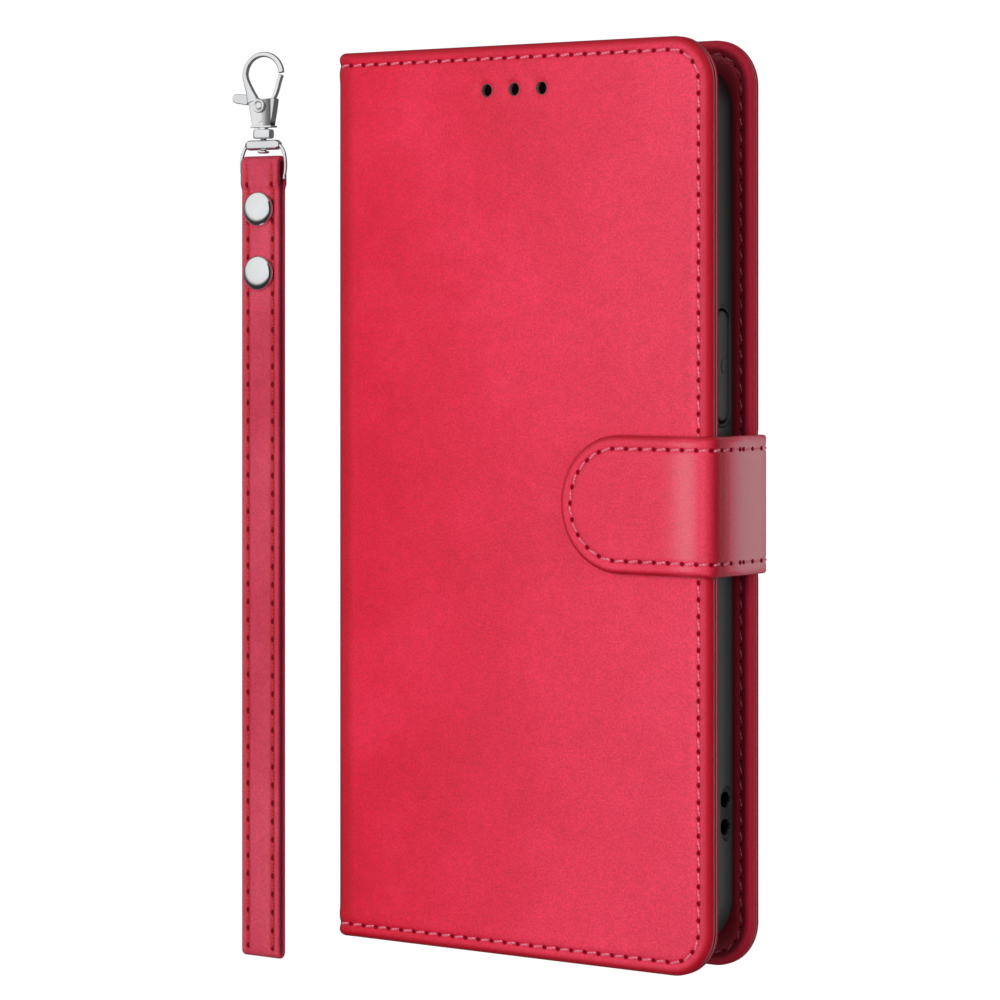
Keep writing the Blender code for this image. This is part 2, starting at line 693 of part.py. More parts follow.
def hook_outline():
    """Flat points round the hook: up the left side, over the top, back inside to the eye's foot."""
    points = [(-2.4 * MM, BODY_LOW), (-3.3 * MM, BODY_LOW + 4.6 * MM)]
    points += [(-4.9 * MM, EYE_MIDDLE - 1.6 * MM)]
    top = 4.6 * MM
    for n in range(15):
        angle = math.radians(180 - 180 * n / 14)
        points.append((HOOK_WIDE * math.cos(angle), EYE_MIDDLE + top * math.sin(angle)))
    inside = HOOK_WIDE - WIRE_WIDE
    for n in range(15):
        angle = math.radians(180 * n / 14)
        points.append((inside * math.cos(angle),
                       EYE_MIDDLE + (top - WIRE_WIDE) * math.sin(angle)))
    points += [(-4.0 * MM, EYE_MIDDLE - 1.7 * MM), (-3.2 * MM, EYE_LOW + 1.3 * MM)]
    points += [(-1.9 * MM, EYE_LOW + 0.3 * MM), (-0.4 * MM, EYE_LOW)]
    points += [(2.3 * MM, EYE_LOW), (2.3 * MM, BODY_LOW)]
    return points


def flat_solid(name, points, low, high, colour, pivot, roughness=0.2, metallic=1.0):
    """A flat shape with straight sides, as points around its edge."""
    rings = [[(LANYARD_X + x, y, z) for x, y in points] for z in (low, high)]
    return loft(name, rings, colour, roughness, metallic, pivot)


HOOK_MIDDLE = (LANYARD_X, COLLAR_LOW, LANYARD_Z)
hook = flat_solid(
    "hook_body", hook_outline(), LANYARD_Z - HOOK_THICK / 2, LANYARD_Z + HOOK_THICK / 2,
    STEEL, HOOK_MIDDLE,
)
neck = turned("hook_neck", [
    (1.1 * MM, COLLAR_LOW + 0.6 * MM), (1.1 * MM, BODY_LOW + 0.6 * MM),
], (LANYARD_X, 0, LANYARD_Z), 1, STEEL, 0.2, 1.0, count=16)


def put_collar(u, v, w):
    return (LANYARD_X + u, COLLAR_LOW + w, LANYARD_Z + v)


collar = stepped(
    "hook_collar", 4.7 * MM, 3.2 * MM, 0.6 * MM, 0.6 * MM, plate_steps(1.8 * MM, 0.25 * MM),
    put_collar, STEEL, 0.2, 1.0, steps=3,
)
join(hook, hide(neck), "UNION")
join(hook, hide(collar), "UNION")
SLOT_HALF = 0.8 * MM
slot_left = block(
    "lever_slot_left", (LANYARD_X - 8 * MM, BODY_LOW + 1.1 * MM, LANYARD_Z - SLOT_HALF),
    (LANYARD_X + 0.5 * MM, EYE_LOW + 1.5 * MM, LANYARD_Z + SLOT_HALF),
)
slot_right = block(
    "lever_slot_right", (LANYARD_X - 1 * MM, BODY_LOW + 1.1 * MM, LANYARD_Z - SLOT_HALF),
    (LANYARD_X + 8 * MM, EYE_LOW + 1 * MM, LANYARD_Z + SLOT_HALF),
)
pin_hole = rod(
    "pin_cut", 0.8 * MM, (HOOK_PIVOT.x, HOOK_PIVOT.y, -1 * MM),
    (HOOK_PIVOT.x, HOOK_PIVOT.y, 6 * MM), 2,
)
post_bore = rod(
    "post_bore", POST + FINE_GAP, (LANYARD_X, COLLAR_LOW - 1 * MM, LANYARD_Z),
    (LANYARD_X, COLLAR_LOW + 1.2 * MM, LANYARD_Z), 1,
)
cut(hook, slot_left, slot_right, pin_hole, post_bore)

turned("swivel_post", [
    (1.0 * MM, BAR_LOW - 0.65 * MM), (1.2 * MM, BAR_LOW - 0.5 * MM), (1.2 * MM, BAR_LOW - 0.2 * MM),
    (POST, BAR_LOW - 0.2 * MM), (POST, COLLAR_LOW + 1.0 * MM),
], (LANYARD_X, 0, LANYARD_Z), 1, STEEL, 0.3, 1.0, pivot=HOOK_MIDDLE, count=20)

# lever: the thumb tab on the left, the hub on the pin, and the gate up the right side
LEVER = [
    (-7.6, 1.9), (-7.3, 0.8), (-3.6, 0.25), (-1.6, -0.5), (-0.9, -1.15), (0.0, -1.35), (1.0, -1.15),
    (2.2, -0.2), (3.5, 1.6), (5.3, 5.3), (4.3, 5.85), (2.8, 1.95), (1.5, 1.3), (0.0, 1.35),
    (-1.5, 1.7), (-3.7, 2.4), (-7.1, 2.55),
]
lever_points = [
    (HOOK_PIVOT.x - LANYARD_X + x * MM, HOOK_PIVOT.y + y * MM) for x, y in LEVER
]
lever = flat_solid(
    "hook_gate", lever_points, LANYARD_Z - 0.55 * MM, LANYARD_Z + 0.55 * MM, STEEL, HOOK_PIVOT,
)
cut(lever, rod(
    "lever_pin_cut", 0.8 * MM, (HOOK_PIVOT.x, HOOK_PIVOT.y, -1 * MM),
    (HOOK_PIVOT.x, HOOK_PIVOT.y, 6 * MM), 2,
))
cheek = HOOK_THICK / 2
turned("gate_rivet", [
    (0.8 * MM, -cheek - 0.45 * MM), (1.15 * MM, -cheek - 0.25 * MM), (1.15 * MM, -cheek - 0.05 * MM),
    (0.7 * MM, -cheek - 0.05 * MM), (0.7 * MM, cheek + 0.05 * MM), (1.2 * MM, cheek + 0.05 * MM),
    (1.2 * MM, cheek + 0.25 * MM), (0.8 * MM, cheek + 0.5 * MM),
], HOOK_PIVOT, 2, STEEL, 0.25, 1.0, count=20)

# coil spring under the lever's left arm, in the slot of the hook
SPRING_X = HOOK_PIVOT.x - 2.0 * MM
SPRING_LOW = BODY_LOW + 1.3 * MM
SPRING_HIGH = HOOK_PIVOT.y - 0.65 * MM
coil = []
turns, per_turn, coil_round, coil_wire = 4, 12, 0.45 * MM, 0.11 * MM
for n in range(turns * per_turn + 1):
    angle = 2 * math.pi * n / per_turn
    y = SPRING_LOW + (SPRING_HIGH - SPRING_LOW) * n / (turns * per_turn)
    out = Vector((math.cos(angle), 0, math.sin(angle)))
    ring = []
    for i in range(6):
        around = 2 * math.pi * i / 6
        place = Vector((SPRING_X, y, LANYARD_Z)) + out * (coil_round + coil_wire * math.cos(around))
        place.y += coil_wire * math.sin(around)
        ring.append(tuple(place))
    coil.append(ring)
tube("gate_spring", coil, 6, STEEL, 0.4, 1.0, pivot=(SPRING_X, SPRING_LOW, LANYARD_Z))
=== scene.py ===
"""Looks of a folding phone wallet case and its wrist strap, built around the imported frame."""
import math

import bmesh
import bpy
import numpy as np
from mathutils import Matrix, Vector


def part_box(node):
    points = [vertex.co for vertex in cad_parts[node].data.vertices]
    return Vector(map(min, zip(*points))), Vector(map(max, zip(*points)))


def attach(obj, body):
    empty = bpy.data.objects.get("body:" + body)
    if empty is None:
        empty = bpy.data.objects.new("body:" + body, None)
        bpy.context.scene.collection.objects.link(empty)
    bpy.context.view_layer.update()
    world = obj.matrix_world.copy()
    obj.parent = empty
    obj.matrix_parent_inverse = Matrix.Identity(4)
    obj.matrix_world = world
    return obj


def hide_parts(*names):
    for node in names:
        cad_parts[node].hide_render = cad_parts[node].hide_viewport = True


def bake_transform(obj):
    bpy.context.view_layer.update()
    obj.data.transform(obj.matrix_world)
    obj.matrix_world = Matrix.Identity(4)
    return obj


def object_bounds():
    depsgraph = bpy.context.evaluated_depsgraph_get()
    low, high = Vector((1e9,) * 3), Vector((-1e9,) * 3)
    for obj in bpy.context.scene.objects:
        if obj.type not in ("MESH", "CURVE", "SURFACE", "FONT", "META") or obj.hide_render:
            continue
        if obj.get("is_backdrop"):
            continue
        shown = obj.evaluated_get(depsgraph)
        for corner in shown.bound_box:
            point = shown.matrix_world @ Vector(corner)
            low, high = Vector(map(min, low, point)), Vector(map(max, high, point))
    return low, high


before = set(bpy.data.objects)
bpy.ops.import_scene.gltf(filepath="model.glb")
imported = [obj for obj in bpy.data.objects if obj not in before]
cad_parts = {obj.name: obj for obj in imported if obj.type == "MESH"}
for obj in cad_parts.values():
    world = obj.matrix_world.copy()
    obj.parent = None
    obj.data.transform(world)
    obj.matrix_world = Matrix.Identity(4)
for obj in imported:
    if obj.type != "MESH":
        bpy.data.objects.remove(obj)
CAD_LOW, CAD_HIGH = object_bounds()
MM = 0.001


# ---- places read from the frame -----------------------------------------------------------

def span(node):
    """The lowest and the highest corner of a node's box."""
    low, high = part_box(node)
    return np.array(low), np.array(high)


BACK_LOW = span("back_cover_leather")[0]
FRONT_LOW, FRONT_HIGH = span("front_cover_leather")
INNER_LOW = span("front_cover_lining")[0]
FLOOR_HIGH = span("back_cover_lining")[1]
SHELL_LOW, SHELL_HIGH = span("phone_shell")
TONGUE_LOW, TONGUE_HIGH = span("clasp_tongue_leather")
TONGUE_UNDER = span("clasp_tongue_lining")[0][2]
SIDE_HIGH = span("clasp_side_leather")[1]
SIDE_INNER = span("clasp_side_lining")[0][0]
ANCHOR_LOW, ANCHOR_HIGH = span("clasp_anchor")
STRAP_LOW, STRAP_HIGH = span("wrist_strap_loop")
RING_LOW, RING_HIGH = span("swivel_ring")
LEFT, RIGHT, TOP, FACE = FRONT_LOW[0], *FRONT_HIGH
ROLL = 1.2 * MM
CORNER = 8.5 * MM
SEAM_IN = 2.5 * MM
PITCH = 3.0 * MM


# ---- profiles -----------------------------------------------------------------------------

def smooth_step(x, low, high):
    """Rises from 0 at low to 1 at high: three times the square of the share less twice its cube."""
    t = np.clip((x - low) / (high - low), 0, 1)
    return t * t * (3 - 2 * t)


def bell(x, middle, width):
    """1 at the middle and falling on both sides: e to minus the square of the distance over the width."""
    return np.exp(-((x - middle) / width) ** 2)


def shoulder(d, radius):
    """The drop of a rounded edge at the distance d in from it, as a quarter circle gives it."""
    over = np.clip(radius - d, 0, radius)
    return radius - np.sqrt(np.maximum(radius ** 2 - over ** 2, 0))


def rolled(d, roll, sew=SEAM_IN, deep=0.22 * MM, puff=0.1 * MM):
    """Height of a panel's face at d in from its edge: a rounded edge, less a bell along the stitches for
    their valley, plus a low bell on both sides of it for the swelling."""
    height = -shoulder(d, roll) - deep * bell(d, sew, 0.5 * MM)
    height = height + puff * bell(d, 1.25 * MM, 0.7 * MM) * (d < sew)
    return height + puff * bell(d, sew + 1.6 * MM, 1.2 * MM) * (d > sew)


def nothing(p, y):
    """No height, or no depth of colour, anywhere."""
    return 0.0 * p


# ---- making meshes ------------------------------------------------------------------------

def piece(name, points, faces, material):
    """One smooth mesh at the origin."""
    data = bpy.data.meshes.new(name)
    data.from_pydata(points.tolist(), [], faces)
    data.update()
    data.polygons.foreach_set("use_smooth", np.ones(len(data.polygons), bool))
    data.materials.append(material)
    thing = bpy.data.objects.new(name, data)
    bpy.context.scene.collection.objects.link(thing)
    return thing


def build(name, grids, material, values=None):
    """One mesh of several grids of points, each rows by columns by 3. Points that meet are joined.
    values gives a number for each point of each grid: how deep the colour is there. The materials turn it
    into painted shade, and into painted highlights and sheen."""
    points, quads, numbers, start = [], [], [], 0
    for k, grid in enumerate(grids):
        grid = np.asarray(grid, float)
        rows, cols = grid.shape[:2]
        ids = start + np.arange(rows * cols).reshape(rows, cols)
        quads.append(np.stack([ids[:-1, :-1], ids[:-1, 1:], ids[1:, 1:], ids[1:, :-1]], -1).reshape(-1, 4))
        points.append(grid.reshape(-1, 3))
        start += rows * cols
        value = 0.0 if values is None or values[k] is None else values[k]
        numbers.append(np.broadcast_to(value, (rows, cols)).reshape(-1))
    points, quads, numbers = np.vstack(points), np.vstack(quads), np.concatenate(numbers)
    _, first, back = np.unique(np.round(points / (2e-6)).astype(np.int64), axis=0,
                               return_index=True, return_inverse=True)
    faces = []
    for corners in back.reshape(-1)[quads].tolist():
        loop = [v for k, v in enumerate(corners) if v != corners[k - 1]]
        if len(loop) == len(set(loop)) and len(loop) > 2:
            faces.append(loop)
    thing = piece(name, points[first], faces, material)
    layer = thing.data.attributes.new("deep", "FLOAT", "POINT")
    layer.data.foreach_set("value", numbers[first].astype(np.float32))
    return thing


def outward(thing):
    """Turns every face outward."""
    work = bmesh.new()
    work.from_mesh(thing.data)
    bmesh.ops.recalc_face_normals(work, faces=work.faces)
    work.to_mesh(thing.data)
    work.free()
    return thing


class Panel:
    """A grid over a rectangle with rounded ends on a bent sheet. p runs across it and y along it. Rows and
    columns crowd towards the edges as 1 less the cosine does, and one of them falls on every mark."""

    def __init__(self, p_low, p_high, half, left=0.0, right=CORNER, rolled=("left", "right"),
                 marks_p=(), marks_y=(), step=0.9 * MM, turn=26):
        self.p_low, self.p_high, self.half = p_low, p_high, half
        self.left, self.right, self.rolled = left, right, rolled
        crowd = 1 - np.cos(np.linspace(0, np.pi / 2, turn))
        near, far = max(right, 5 * MM), max(left, 5 * MM)
        marks = sorted(m for m in marks_p if p_low + far < m < p_high - near)
        stops = [p_low + far, *marks, p_high - near]
        columns = [p_low + far * crowd[:-1]]
        for a, b in zip(stops, stops[1:]):
            count = max(1, int(round((b - a) / step)))
            columns.append(np.linspace(a, b, count + 1)[:-1])
        columns.append(p_high - near * crowd[::-1])
        self.p = np.concatenate(columns)

        edge = 4.6 * MM * crowd
        full = self.reach(self.p)
        squeeze = np.minimum(1.0, full / (1.6 * edge[-1]))
        inner = full - edge[-1] * squeeze
        run = half - edge[-1]
        shares = sorted(m / half for m in marks_y)
        stops = [-1, *(share * half / run for share in shares), 1]
        rows = [-(full[None] - edge[:-1, None] * squeeze[None])]
        for a, b in zip(stops, stops[1:]):
            count = max(2, int(round((b - a) * run / step)))
            t = np.linspace(0, 1, count + 1)[:-1]
            rows.append(inner[None] * (a + (b - a) * t[:, None]))
        rows.append(full[None] - edge[::-1, None] * squeeze[None])
        self.y = np.vstack(rows)
        self.P = np.broadcast_to(self.p, self.y.shape)

    def reach(self, p):
        """Half the length of the panel at p."""
        out = np.full_like(p, self.half)
        for radius, way, end in ((self.right, 1, self.p_high), (self.left, -1, self.p_low)):
            if radius > 0:
                out = out - shoulder(way * (end - p), radius)
        return out

    def inset(self, p, y):
        """Distance in from the outline, leaving out sides that aren't rolled."""
        dy = self.half - np.abs(y)
        d = dy
        sides = ((self.right, self.p_high, 1, "right"), (self.left, self.p_low, -1, "left"))
        for radius, end, way, side in sides:
            if side not in self.rolled:
                continue
            dx = way * (end - p)
            near = np.minimum(dx, dy)
            if radius > 0:
                inside = (dx < radius) & (dy < radius)
                near = np.where(inside, radius - np.hypot(radius - dx, radius - dy), near)
            d = np.minimum(d, near)
        return np.maximum(d, 0)


def same_stretches(keep):
    """The runs of rows whose kept cells are the same: first row, end row, and each stretch of columns."""
    stretches = []
    for line in keep:
        change = np.flatnonzero(np.diff(np.concatenate([[0], line.astype(int), [0]])))
        stretches.append(tuple(change.reshape(-1, 2).ravel().tolist()))
    first = 0
    while first < len(stretches):
        end = first
        while end < len(stretches) and stretches[end] == stretches[first]:
            end += 1
        for a, b in np.array(stretches[first]).reshape(-1, 2):
            yield first, end, a, b
        first = end


def slab(name, panel, place, height, thick, material, deep, holes=()):
    """A closed sheet: its face stands height(p, y) out from the sheet, its back is flat at the thickness,
    and both meet at the edge. A hole is (p range, y range, outline): the mesh runs in rings from the
    rectangle of the ranges to the outline, each a share of the way, and down the hole's wall."""
    P, Y = panel.P, panel.y
    spot, out = place(P, Y)
    top = spot + out * height(P, Y)[..., None]
    under = spot - out * thick
    grids, numbers = [], []
    keep = np.ones((P.shape[0] - 1, P.shape[1] - 1), bool)
    mid_p = (P[:-1, :-1] + P[1:, 1:]) / 2
    mid_y = (Y[:-1, :-1] + Y[1:, 1:]) / 2
    for (p0, p1), (y0, y1), _ in holes:
        keep &= ~((mid_p > p0) & (mid_p < p1) & (mid_y > y0) & (mid_y < y1))
    value = deep(P, Y)
    for first, end, a, b in same_stretches(keep):
        part = (slice(first, end + 1), slice(a, b + 1))
        grids += [top[part], under[part]]
        numbers += [value[part], value[part]]
    near = 1e-7
    for (p0, p1), (y0, y1), outline in holes:
        cols = np.flatnonzero((panel.p > p0 - near) & (panel.p < p1 + near))
        line = Y[:, cols[0]]
        rows = np.flatnonzero((line > y0 - near) & (line < y1 + near))
        a, b, c, d = rows[0], rows[-1], cols[0], cols[-1]
        loop = ([(a, k) for k in range(c, d)] + [(k, d) for k in range(a, b)]
                + [(b, k) for k in range(d, c, -1)] + [(k, c) for k in range(b, a, -1)])
        loop.append(loop[0])
        rim_p = np.array([P[k] for k in loop])
        rim_y = np.array([Y[k] for k in loop])
        hole_p, hole_y = outline(rim_p, rim_y)
        share = np.array([0, 0.2, 0.4, 0.58, 0.72, 0.83, 0.91, 0.97, 1.0])[:, None]
        ring_p = rim_p + (hole_p - rim_p) * share
        ring_y = rim_y + (hole_y - rim_y) * share
        spot, out = place(ring_p, ring_y)
        face = spot + out * height(ring_p, ring_y)[..., None]
        base = spot - out * thick
        grids += [face, base, np.stack([face[-1], base[-1]])]
        numbers += [deep(ring_p, ring_y), None, None]
    return outward(build(name, grids, material, numbers))


def round_hole(p, y, radius):
    """The outline of a round hole, point by point as seen from its middle."""
    def outline(rim_p, rim_y):
        angle = np.arctan2(rim_y - y, rim_p - p)
        return p + radius * np.cos(angle), y + radius * np.sin(angle)
    return outline


def window_hole(p, y, wide, tall, corner):
    """The outline of a rectangular hole: the rim shrunk to it, its corners pulled in to quarter circles."""
    def outline(rim_p, rim_y):
        u = (rim_p - p) / max(np.abs(rim_p - p).max(), 1e-9) * wide / 2
        v = (rim_y - y) / max(np.abs(rim_y - y).max(), 1e-9) * tall / 2
        over_u = np.maximum(np.abs(u) - (wide / 2 - corner), 0)
        over_v = np.maximum(np.abs(v) - (tall / 2 - corner), 0)
        far = np.maximum(np.hypot(over_u, over_v) / corner, 1)
        u = np.sign(u) * (np.minimum(np.abs(u), wide / 2 - corner) + over_u / far)
        v = np.sign(v) * (np.minimum(np.abs(v), tall / 2 - corner) + over_v / far)
        return p + u, y + v
    return outline


# ---- materials ----------------------------------------------------------------------------

class Paint:
    """Builds one node material, step by step."""

    def __init__(self, name):
        self.material = bpy.data.materials.new(name)
        self.material.use_nodes = True
        self.tree = self.material.node_tree
        self.shader = self.tree.nodes["Principled BSDF"]
        self.coords = self.node("TexCoord").outputs["Object"]

    def feed(self, socket, value):
        """Links a socket to another, or sets its constant."""
        if isinstance(value, bpy.types.NodeSocket):
            self.tree.links.new(value, socket)
        else:
            socket.default_value = value

    def node(self, kind, values=None, **fields):
        """A new node of a kind, with its fields and what its sockets take."""
        made = self.tree.nodes.new("ShaderNode" + kind)
        for key, value in fields.items():
            setattr(made, key, value)
        for key, value in (values or {}).items():
            self.feed(made.inputs[key], value)
        return made

    def set(self, **values):
        """Feeds sockets of the shader, their names written with underscores."""
        for key, value in values.items():
            self.feed(self.shader.inputs[key.replace("_", " ")], value)

    def noise(self, scale, detail=3.0, rough=0.6):
        """Cloudy values about 0.5."""
        values = {"Vector": self.coords, "Scale": scale, "Detail": detail, "Roughness": rough}
        return self.node("TexNoise", values).outputs["Fac"]

    def cells(self, scale, feature):
        """Distances in a pattern of cells."""
        made = self.node("TexVoronoi", {"Vector": self.coords, "Scale": scale}, feature=feature)
        return made.outputs["Distance"]

    def along(self, axis):
        """The place along X, Y or Z, in metres."""
        return self.node("SeparateXYZ", {"Vector": self.coords}).outputs[axis]

    def ramp(self, value, stops):
        """Colours at places from 0 to 1, blended between them."""
        made = self.node("ValToRGB", {"Fac": value})
        elements = made.color_ramp.elements
        while len(elements) < len(stops):
            elements.new(0.5)
        for element, (place, colour) in zip(elements, stops):
            element.position = place
            element.color = colour
        return made.outputs[0]

    def mix(self, share, a, b, blend="MIX"):
        """Colour a, with a share of b blended in."""
        return self.node("MixRGB", {"Fac": share, "Color1": a, "Color2": b}, blend_type=blend).outputs[0]

    def multiply(self, a, b):
        """One colour times another."""
        return self.mix(1.0, a, b, "MULTIPLY")

    def maths(self, how, a, b):
        """One step of arithmetic."""
        return self.node("Math", {0: a, 1: b}, operation=how).outputs[0]

    def range(self, value, low, high, to_low, to_high):
        """A value from low to high, spread from to_low to to_high."""
        values = {"Value": value, "From Min": low, "From Max": high, "To Min": to_low, "To Max": to_high}
        return self.node("MapRange", values).outputs[0]

    def bump(self, height, strength, distance, normal=None):
        """A normal bent by a height, on top of another normal."""
        values = {"Height": height, "Strength": strength, "Distance": distance}
        if normal is not None:
            values["Normal"] = normal
        return self.node("Bump", values).outputs[0]

    def deep(self):
        """The number that each point of the mesh holds."""
        return self.node("Attribute", attribute_name="deep").outputs["Fac"]


def rgb(r, g, b):
    """Linear colour of display values from 0 to 255."""
    shares = (c / 255 for c in (r, g, b))
    return tuple(c / 12.92 if c <= 0.04045 else ((c + 0.055) / 1.055) ** 2.4 for c in shares) + (1.0,)


def grey(value):
    """A linear grey."""
    return (value, value, value, 1.0)


def leather(name, pale, mid, dark, edge, rough=0.45, drift_sheen=None):
    """Coated leather. Clouds of three tones, with a painted sheen that shifts them towards one more colour
    from left to right; specks and fine pebbles multiply them. Where the mesh's number is above 0 the edge
    colour comes in as painted shade, or as a painted highlight where that colour is lighter, and below 0 a
    pale painted sheen comes in. Cells and noise add up to the grain, over a low wave."""
    m = Paint(name)
    tint = m.ramp(m.noise(38.0, 5.0, 0.62), [(0.30, dark), (0.5, mid), (0.72, pale)])
    if drift_sheen:
        # painted sheen: the colour shifts towards the sheen tone from left to right
        shift = m.range(m.along("X"), -0.046, 0.040, 0.0, 1.0)
        tint = m.mix(m.maths("MULTIPLY", shift, 0.5), tint, drift_sheen)
    tint = m.multiply(tint, m.range(m.noise(420.0), 0.3, 0.7, 0.95, 1.05))
    tint = m.multiply(tint, m.range(m.noise(2600.0, 2.0, 0.7), 0.34, 0.66, 0.85, 1.15))
    depth = m.deep()
    # below 0 the number paints a pale sheen or highlight, above 0 the edge colour as painted shade or
    # highlight
    mottle_and_painted_sheen = m.maths("MAXIMUM", m.maths("MULTIPLY", depth, -1.0), 0.0)
    turn = m.maths("MULTIPLY", m.maths("MAXIMUM", depth, 0.0), 0.94)
    colour = m.mix(turn, m.mix(mottle_and_painted_sheen, tint, rgb(228, 152, 160)), edge)
    pores = m.maths("MULTIPLY", m.cells(2600.0, "F1"), 0.45)
    creases = m.maths("MULTIPLY", m.cells(1500.0, "DISTANCE_TO_EDGE"), 0.35)
    fine = m.maths("MULTIPLY", m.noise(5200.0, 2.0, 0.7), 0.35)
    grain = m.maths("ADD", m.maths("ADD", pores, creases), fine)
    wave = m.bump(m.noise(160.0, 2.0, 0.5), 0.22, 0.0004)
    m.set(Base_Color=colour, Normal=m.bump(grain, 0.6, 0.00014, wave),
          Roughness=m.range(m.noise(900.0, 3.0, 0.7), 0.3, 0.7, rough - 0.06, rough + 0.08),
          Specular_IOR_Level=0.3, Sheen_Weight=0.03, Sheen_Roughness=0.4, Sheen_Tint=rgb(255, 170, 190))
    return m.material


# crimson: the edge colour is painted shade on turned edges, stitch valleys and folds; the last colour is a
# painted sheen
CRIMSON = leather("crimson_leather_look", rgb(220, 30, 66), rgb(208, 12, 50), rgb(196, 3, 38),
                  rgb(166, 0, 26), drift_sheen=rgb(224, 76, 104))
# lining: the lighter edge colour is a painted highlight on its rolled edge
LINING = leather("lining_look", rgb(132, 14, 36), rgb(120, 8, 28), rgb(106, 5, 22), rgb(176, 12, 44),
                 rough=0.5)
# cut edge: the near-black edge colour is painted shade in its groove and along its seams
CUT_EDGE = leather("cut_edge_look", rgb(172, 34, 56), rgb(160, 26, 46), rgb(148, 18, 38), rgb(58, 2, 12))
# strap: the edge colour is painted shade in its grooves and at its edges
STRAP_RED = leather("strap_leather_look", rgb(208, 76, 98), rgb(198, 60, 84), rgb(186, 46, 70),
                    rgb(164, 8, 30))


def thread(name, pale, dark):
    """Twisted sewing thread: slanting bands for its plies in height, and painted shade between them in
    colour.
    """
    m = Paint(name)
    values = {"Vector": m.coords, "Scale": 900.0, "Distortion": 1.5, "Detail": 1.0}
    plies = m.node("TexWave", values, wave_type="BANDS", bands_direction="DIAGONAL").outputs["Fac"]
    m.set(Base_Color=m.mix(plies, dark, pale), Roughness=0.6, Normal=m.bump(plies, 0.4, 0.00008),
          Sheen_Weight=0.3)
    return m.material


THREAD = thread("pink_thread_look", rgb(232, 126, 150), rgb(196, 70, 98))
THREAD_RED = thread("red_thread_look", rgb(205, 38, 44), rgb(150, 10, 18))
THREAD_DARK = thread("dull_thread_look", rgb(176, 78, 98), rgb(120, 34, 52))


def needle_hole(name, rim, middle):
    """A needle hole: the colour of the leather at its rim, and painted shade darkening its middle."""
    m = Paint(name)
    mottle = m.range(m.noise(3000.0), 0.3, 0.7, 0.9, 1.1)
    m.set(Base_Color=m.multiply(m.mix(m.deep(), rim, middle), mottle), Roughness=0.7, Specular_IOR_Level=0.1)
    return m.material


HOLE = needle_hole("needle_hole_look", rgb(172, 4, 34), rgb(92, 0, 18))
HOLE_LINING = needle_hole("lining_hole_look", rgb(92, 6, 20), rgb(36, 0, 6))
HOLE_STRAP = needle_hole("strap_hole_look", rgb(150, 22, 34), rgb(96, 4, 10))


def plain(name, colour, rough, metallic=0.0, bump=0.1, scale=900.0, size=0.0001, mottle_and_painted_sheen=0.08):
    """A moulded, cut or plated surface: a broad noise shades its colour, a fine one its gloss and height."""
    m = Paint(name)
    fine = m.noise(scale)
    shade = m.range(m.noise(90.0), 0.3, 0.7, 1 - mottle_and_painted_sheen, 1 + mottle_and_painted_sheen)
    m.set(Base_Color=m.multiply(colour, shade), Metallic=metallic, Normal=m.bump(fine, bump, size),
          Roughness=m.range(fine, 0.3, 0.7, rough * 0.8, rough * 1.25))
    return m


def plated(name, rough):
    """Bright plated metal."""
    return plain(name, rgb(225, 226, 228), rough, 1.0, bump=0.03, scale=300.0)


CORE = plain("cut_board_look", rgb(112, 96, 92), 0.9, bump=0.8, scale=2600.0, size=0.0002, mottle_and_painted_sheen=0.2).material
SHADOW = plain("deep_shadow_look", rgb(18, 4, 5), 0.95)
SHADOW.set(Specular_IOR_Level=0.0)
CHROME = plated("plated_look", 0.13).material
RING_CHROME = plated("ring_plated_look", 0.10).material
MAGNET = plain("magnet_look", rgb(180, 182, 185), 0.3, 1.0).material
STRAP_X = (STRAP_LOW[0] + STRAP_HIGH[0]) / 2


def wedge_look():
    """Plated metal with a painted reflection: its colour deepens towards one side, with a painted highlight
    on the bright edge beyond.
    """
    m = plated("wedge_painted_reflection_look", 0.2)
    share = m.range(m.along("X"), STRAP_X - 3.4 * MM, STRAP_X + 3.4 * MM, 0.0, 1.0)
    tones = ((0.0, 0.62), (0.2, 0.8), (0.48, 0.78), (0.72, 0.2), (0.86, 0.10), (0.88, 0.7), (1.0, 0.6))
    m.set(Base_Color=m.ramp(share, [(place, grey(tone)) for place, tone in tones]))
    return m.material


def shell_look(pale, upper, dark):
    """Moulded satin plastic. A painted shade darkens it towards the top of the case, a broad noise shades it,
    and painted shade makes its recesses dark and takes their gloss away."""
    m = Paint("shell_look")
    fine = m.noise(4200.0, 2.0, 0.7)
    shade = m.range(m.noise(60.0, 3.0, 0.5), 0.3, 0.7, 0.9, 1.1)
    # painted shade: darker towards the top of the case
    fade = m.ramp(m.range(m.along("Y"), -0.084, 0.084, 0.0, 1.0), [(0.0, pale), (0.45, pale), (0.95, upper)])
    m.set(Base_Color=m.multiply(m.mix(m.deep(), fade, dark), shade), Normal=m.bump(fine, 0.18, 0.00005),
          Roughness=m.range(fine, 0.3, 0.7, 0.38, 0.5),
          Specular_IOR_Level=m.range(m.deep(), 0.0, 0.8, 0.35, 0.0))
    return m.material


CHROME_WEDGE = wedge_look()
# the upper colour is painted shade towards the top of the case, the dark one painted shade in the recesses
SHELL = shell_look(rgb(50, 58, 56), rgb(10, 12, 11), rgb(1, 1, 1))


# ---- stitches -----------------------------------------------------------------------------

def on_line(at, along, points):
    """The points at given lengths along a line of points."""
    return np.stack([np.interp(at, along, points[:, k]) for k in range(points.shape[1])], 1)


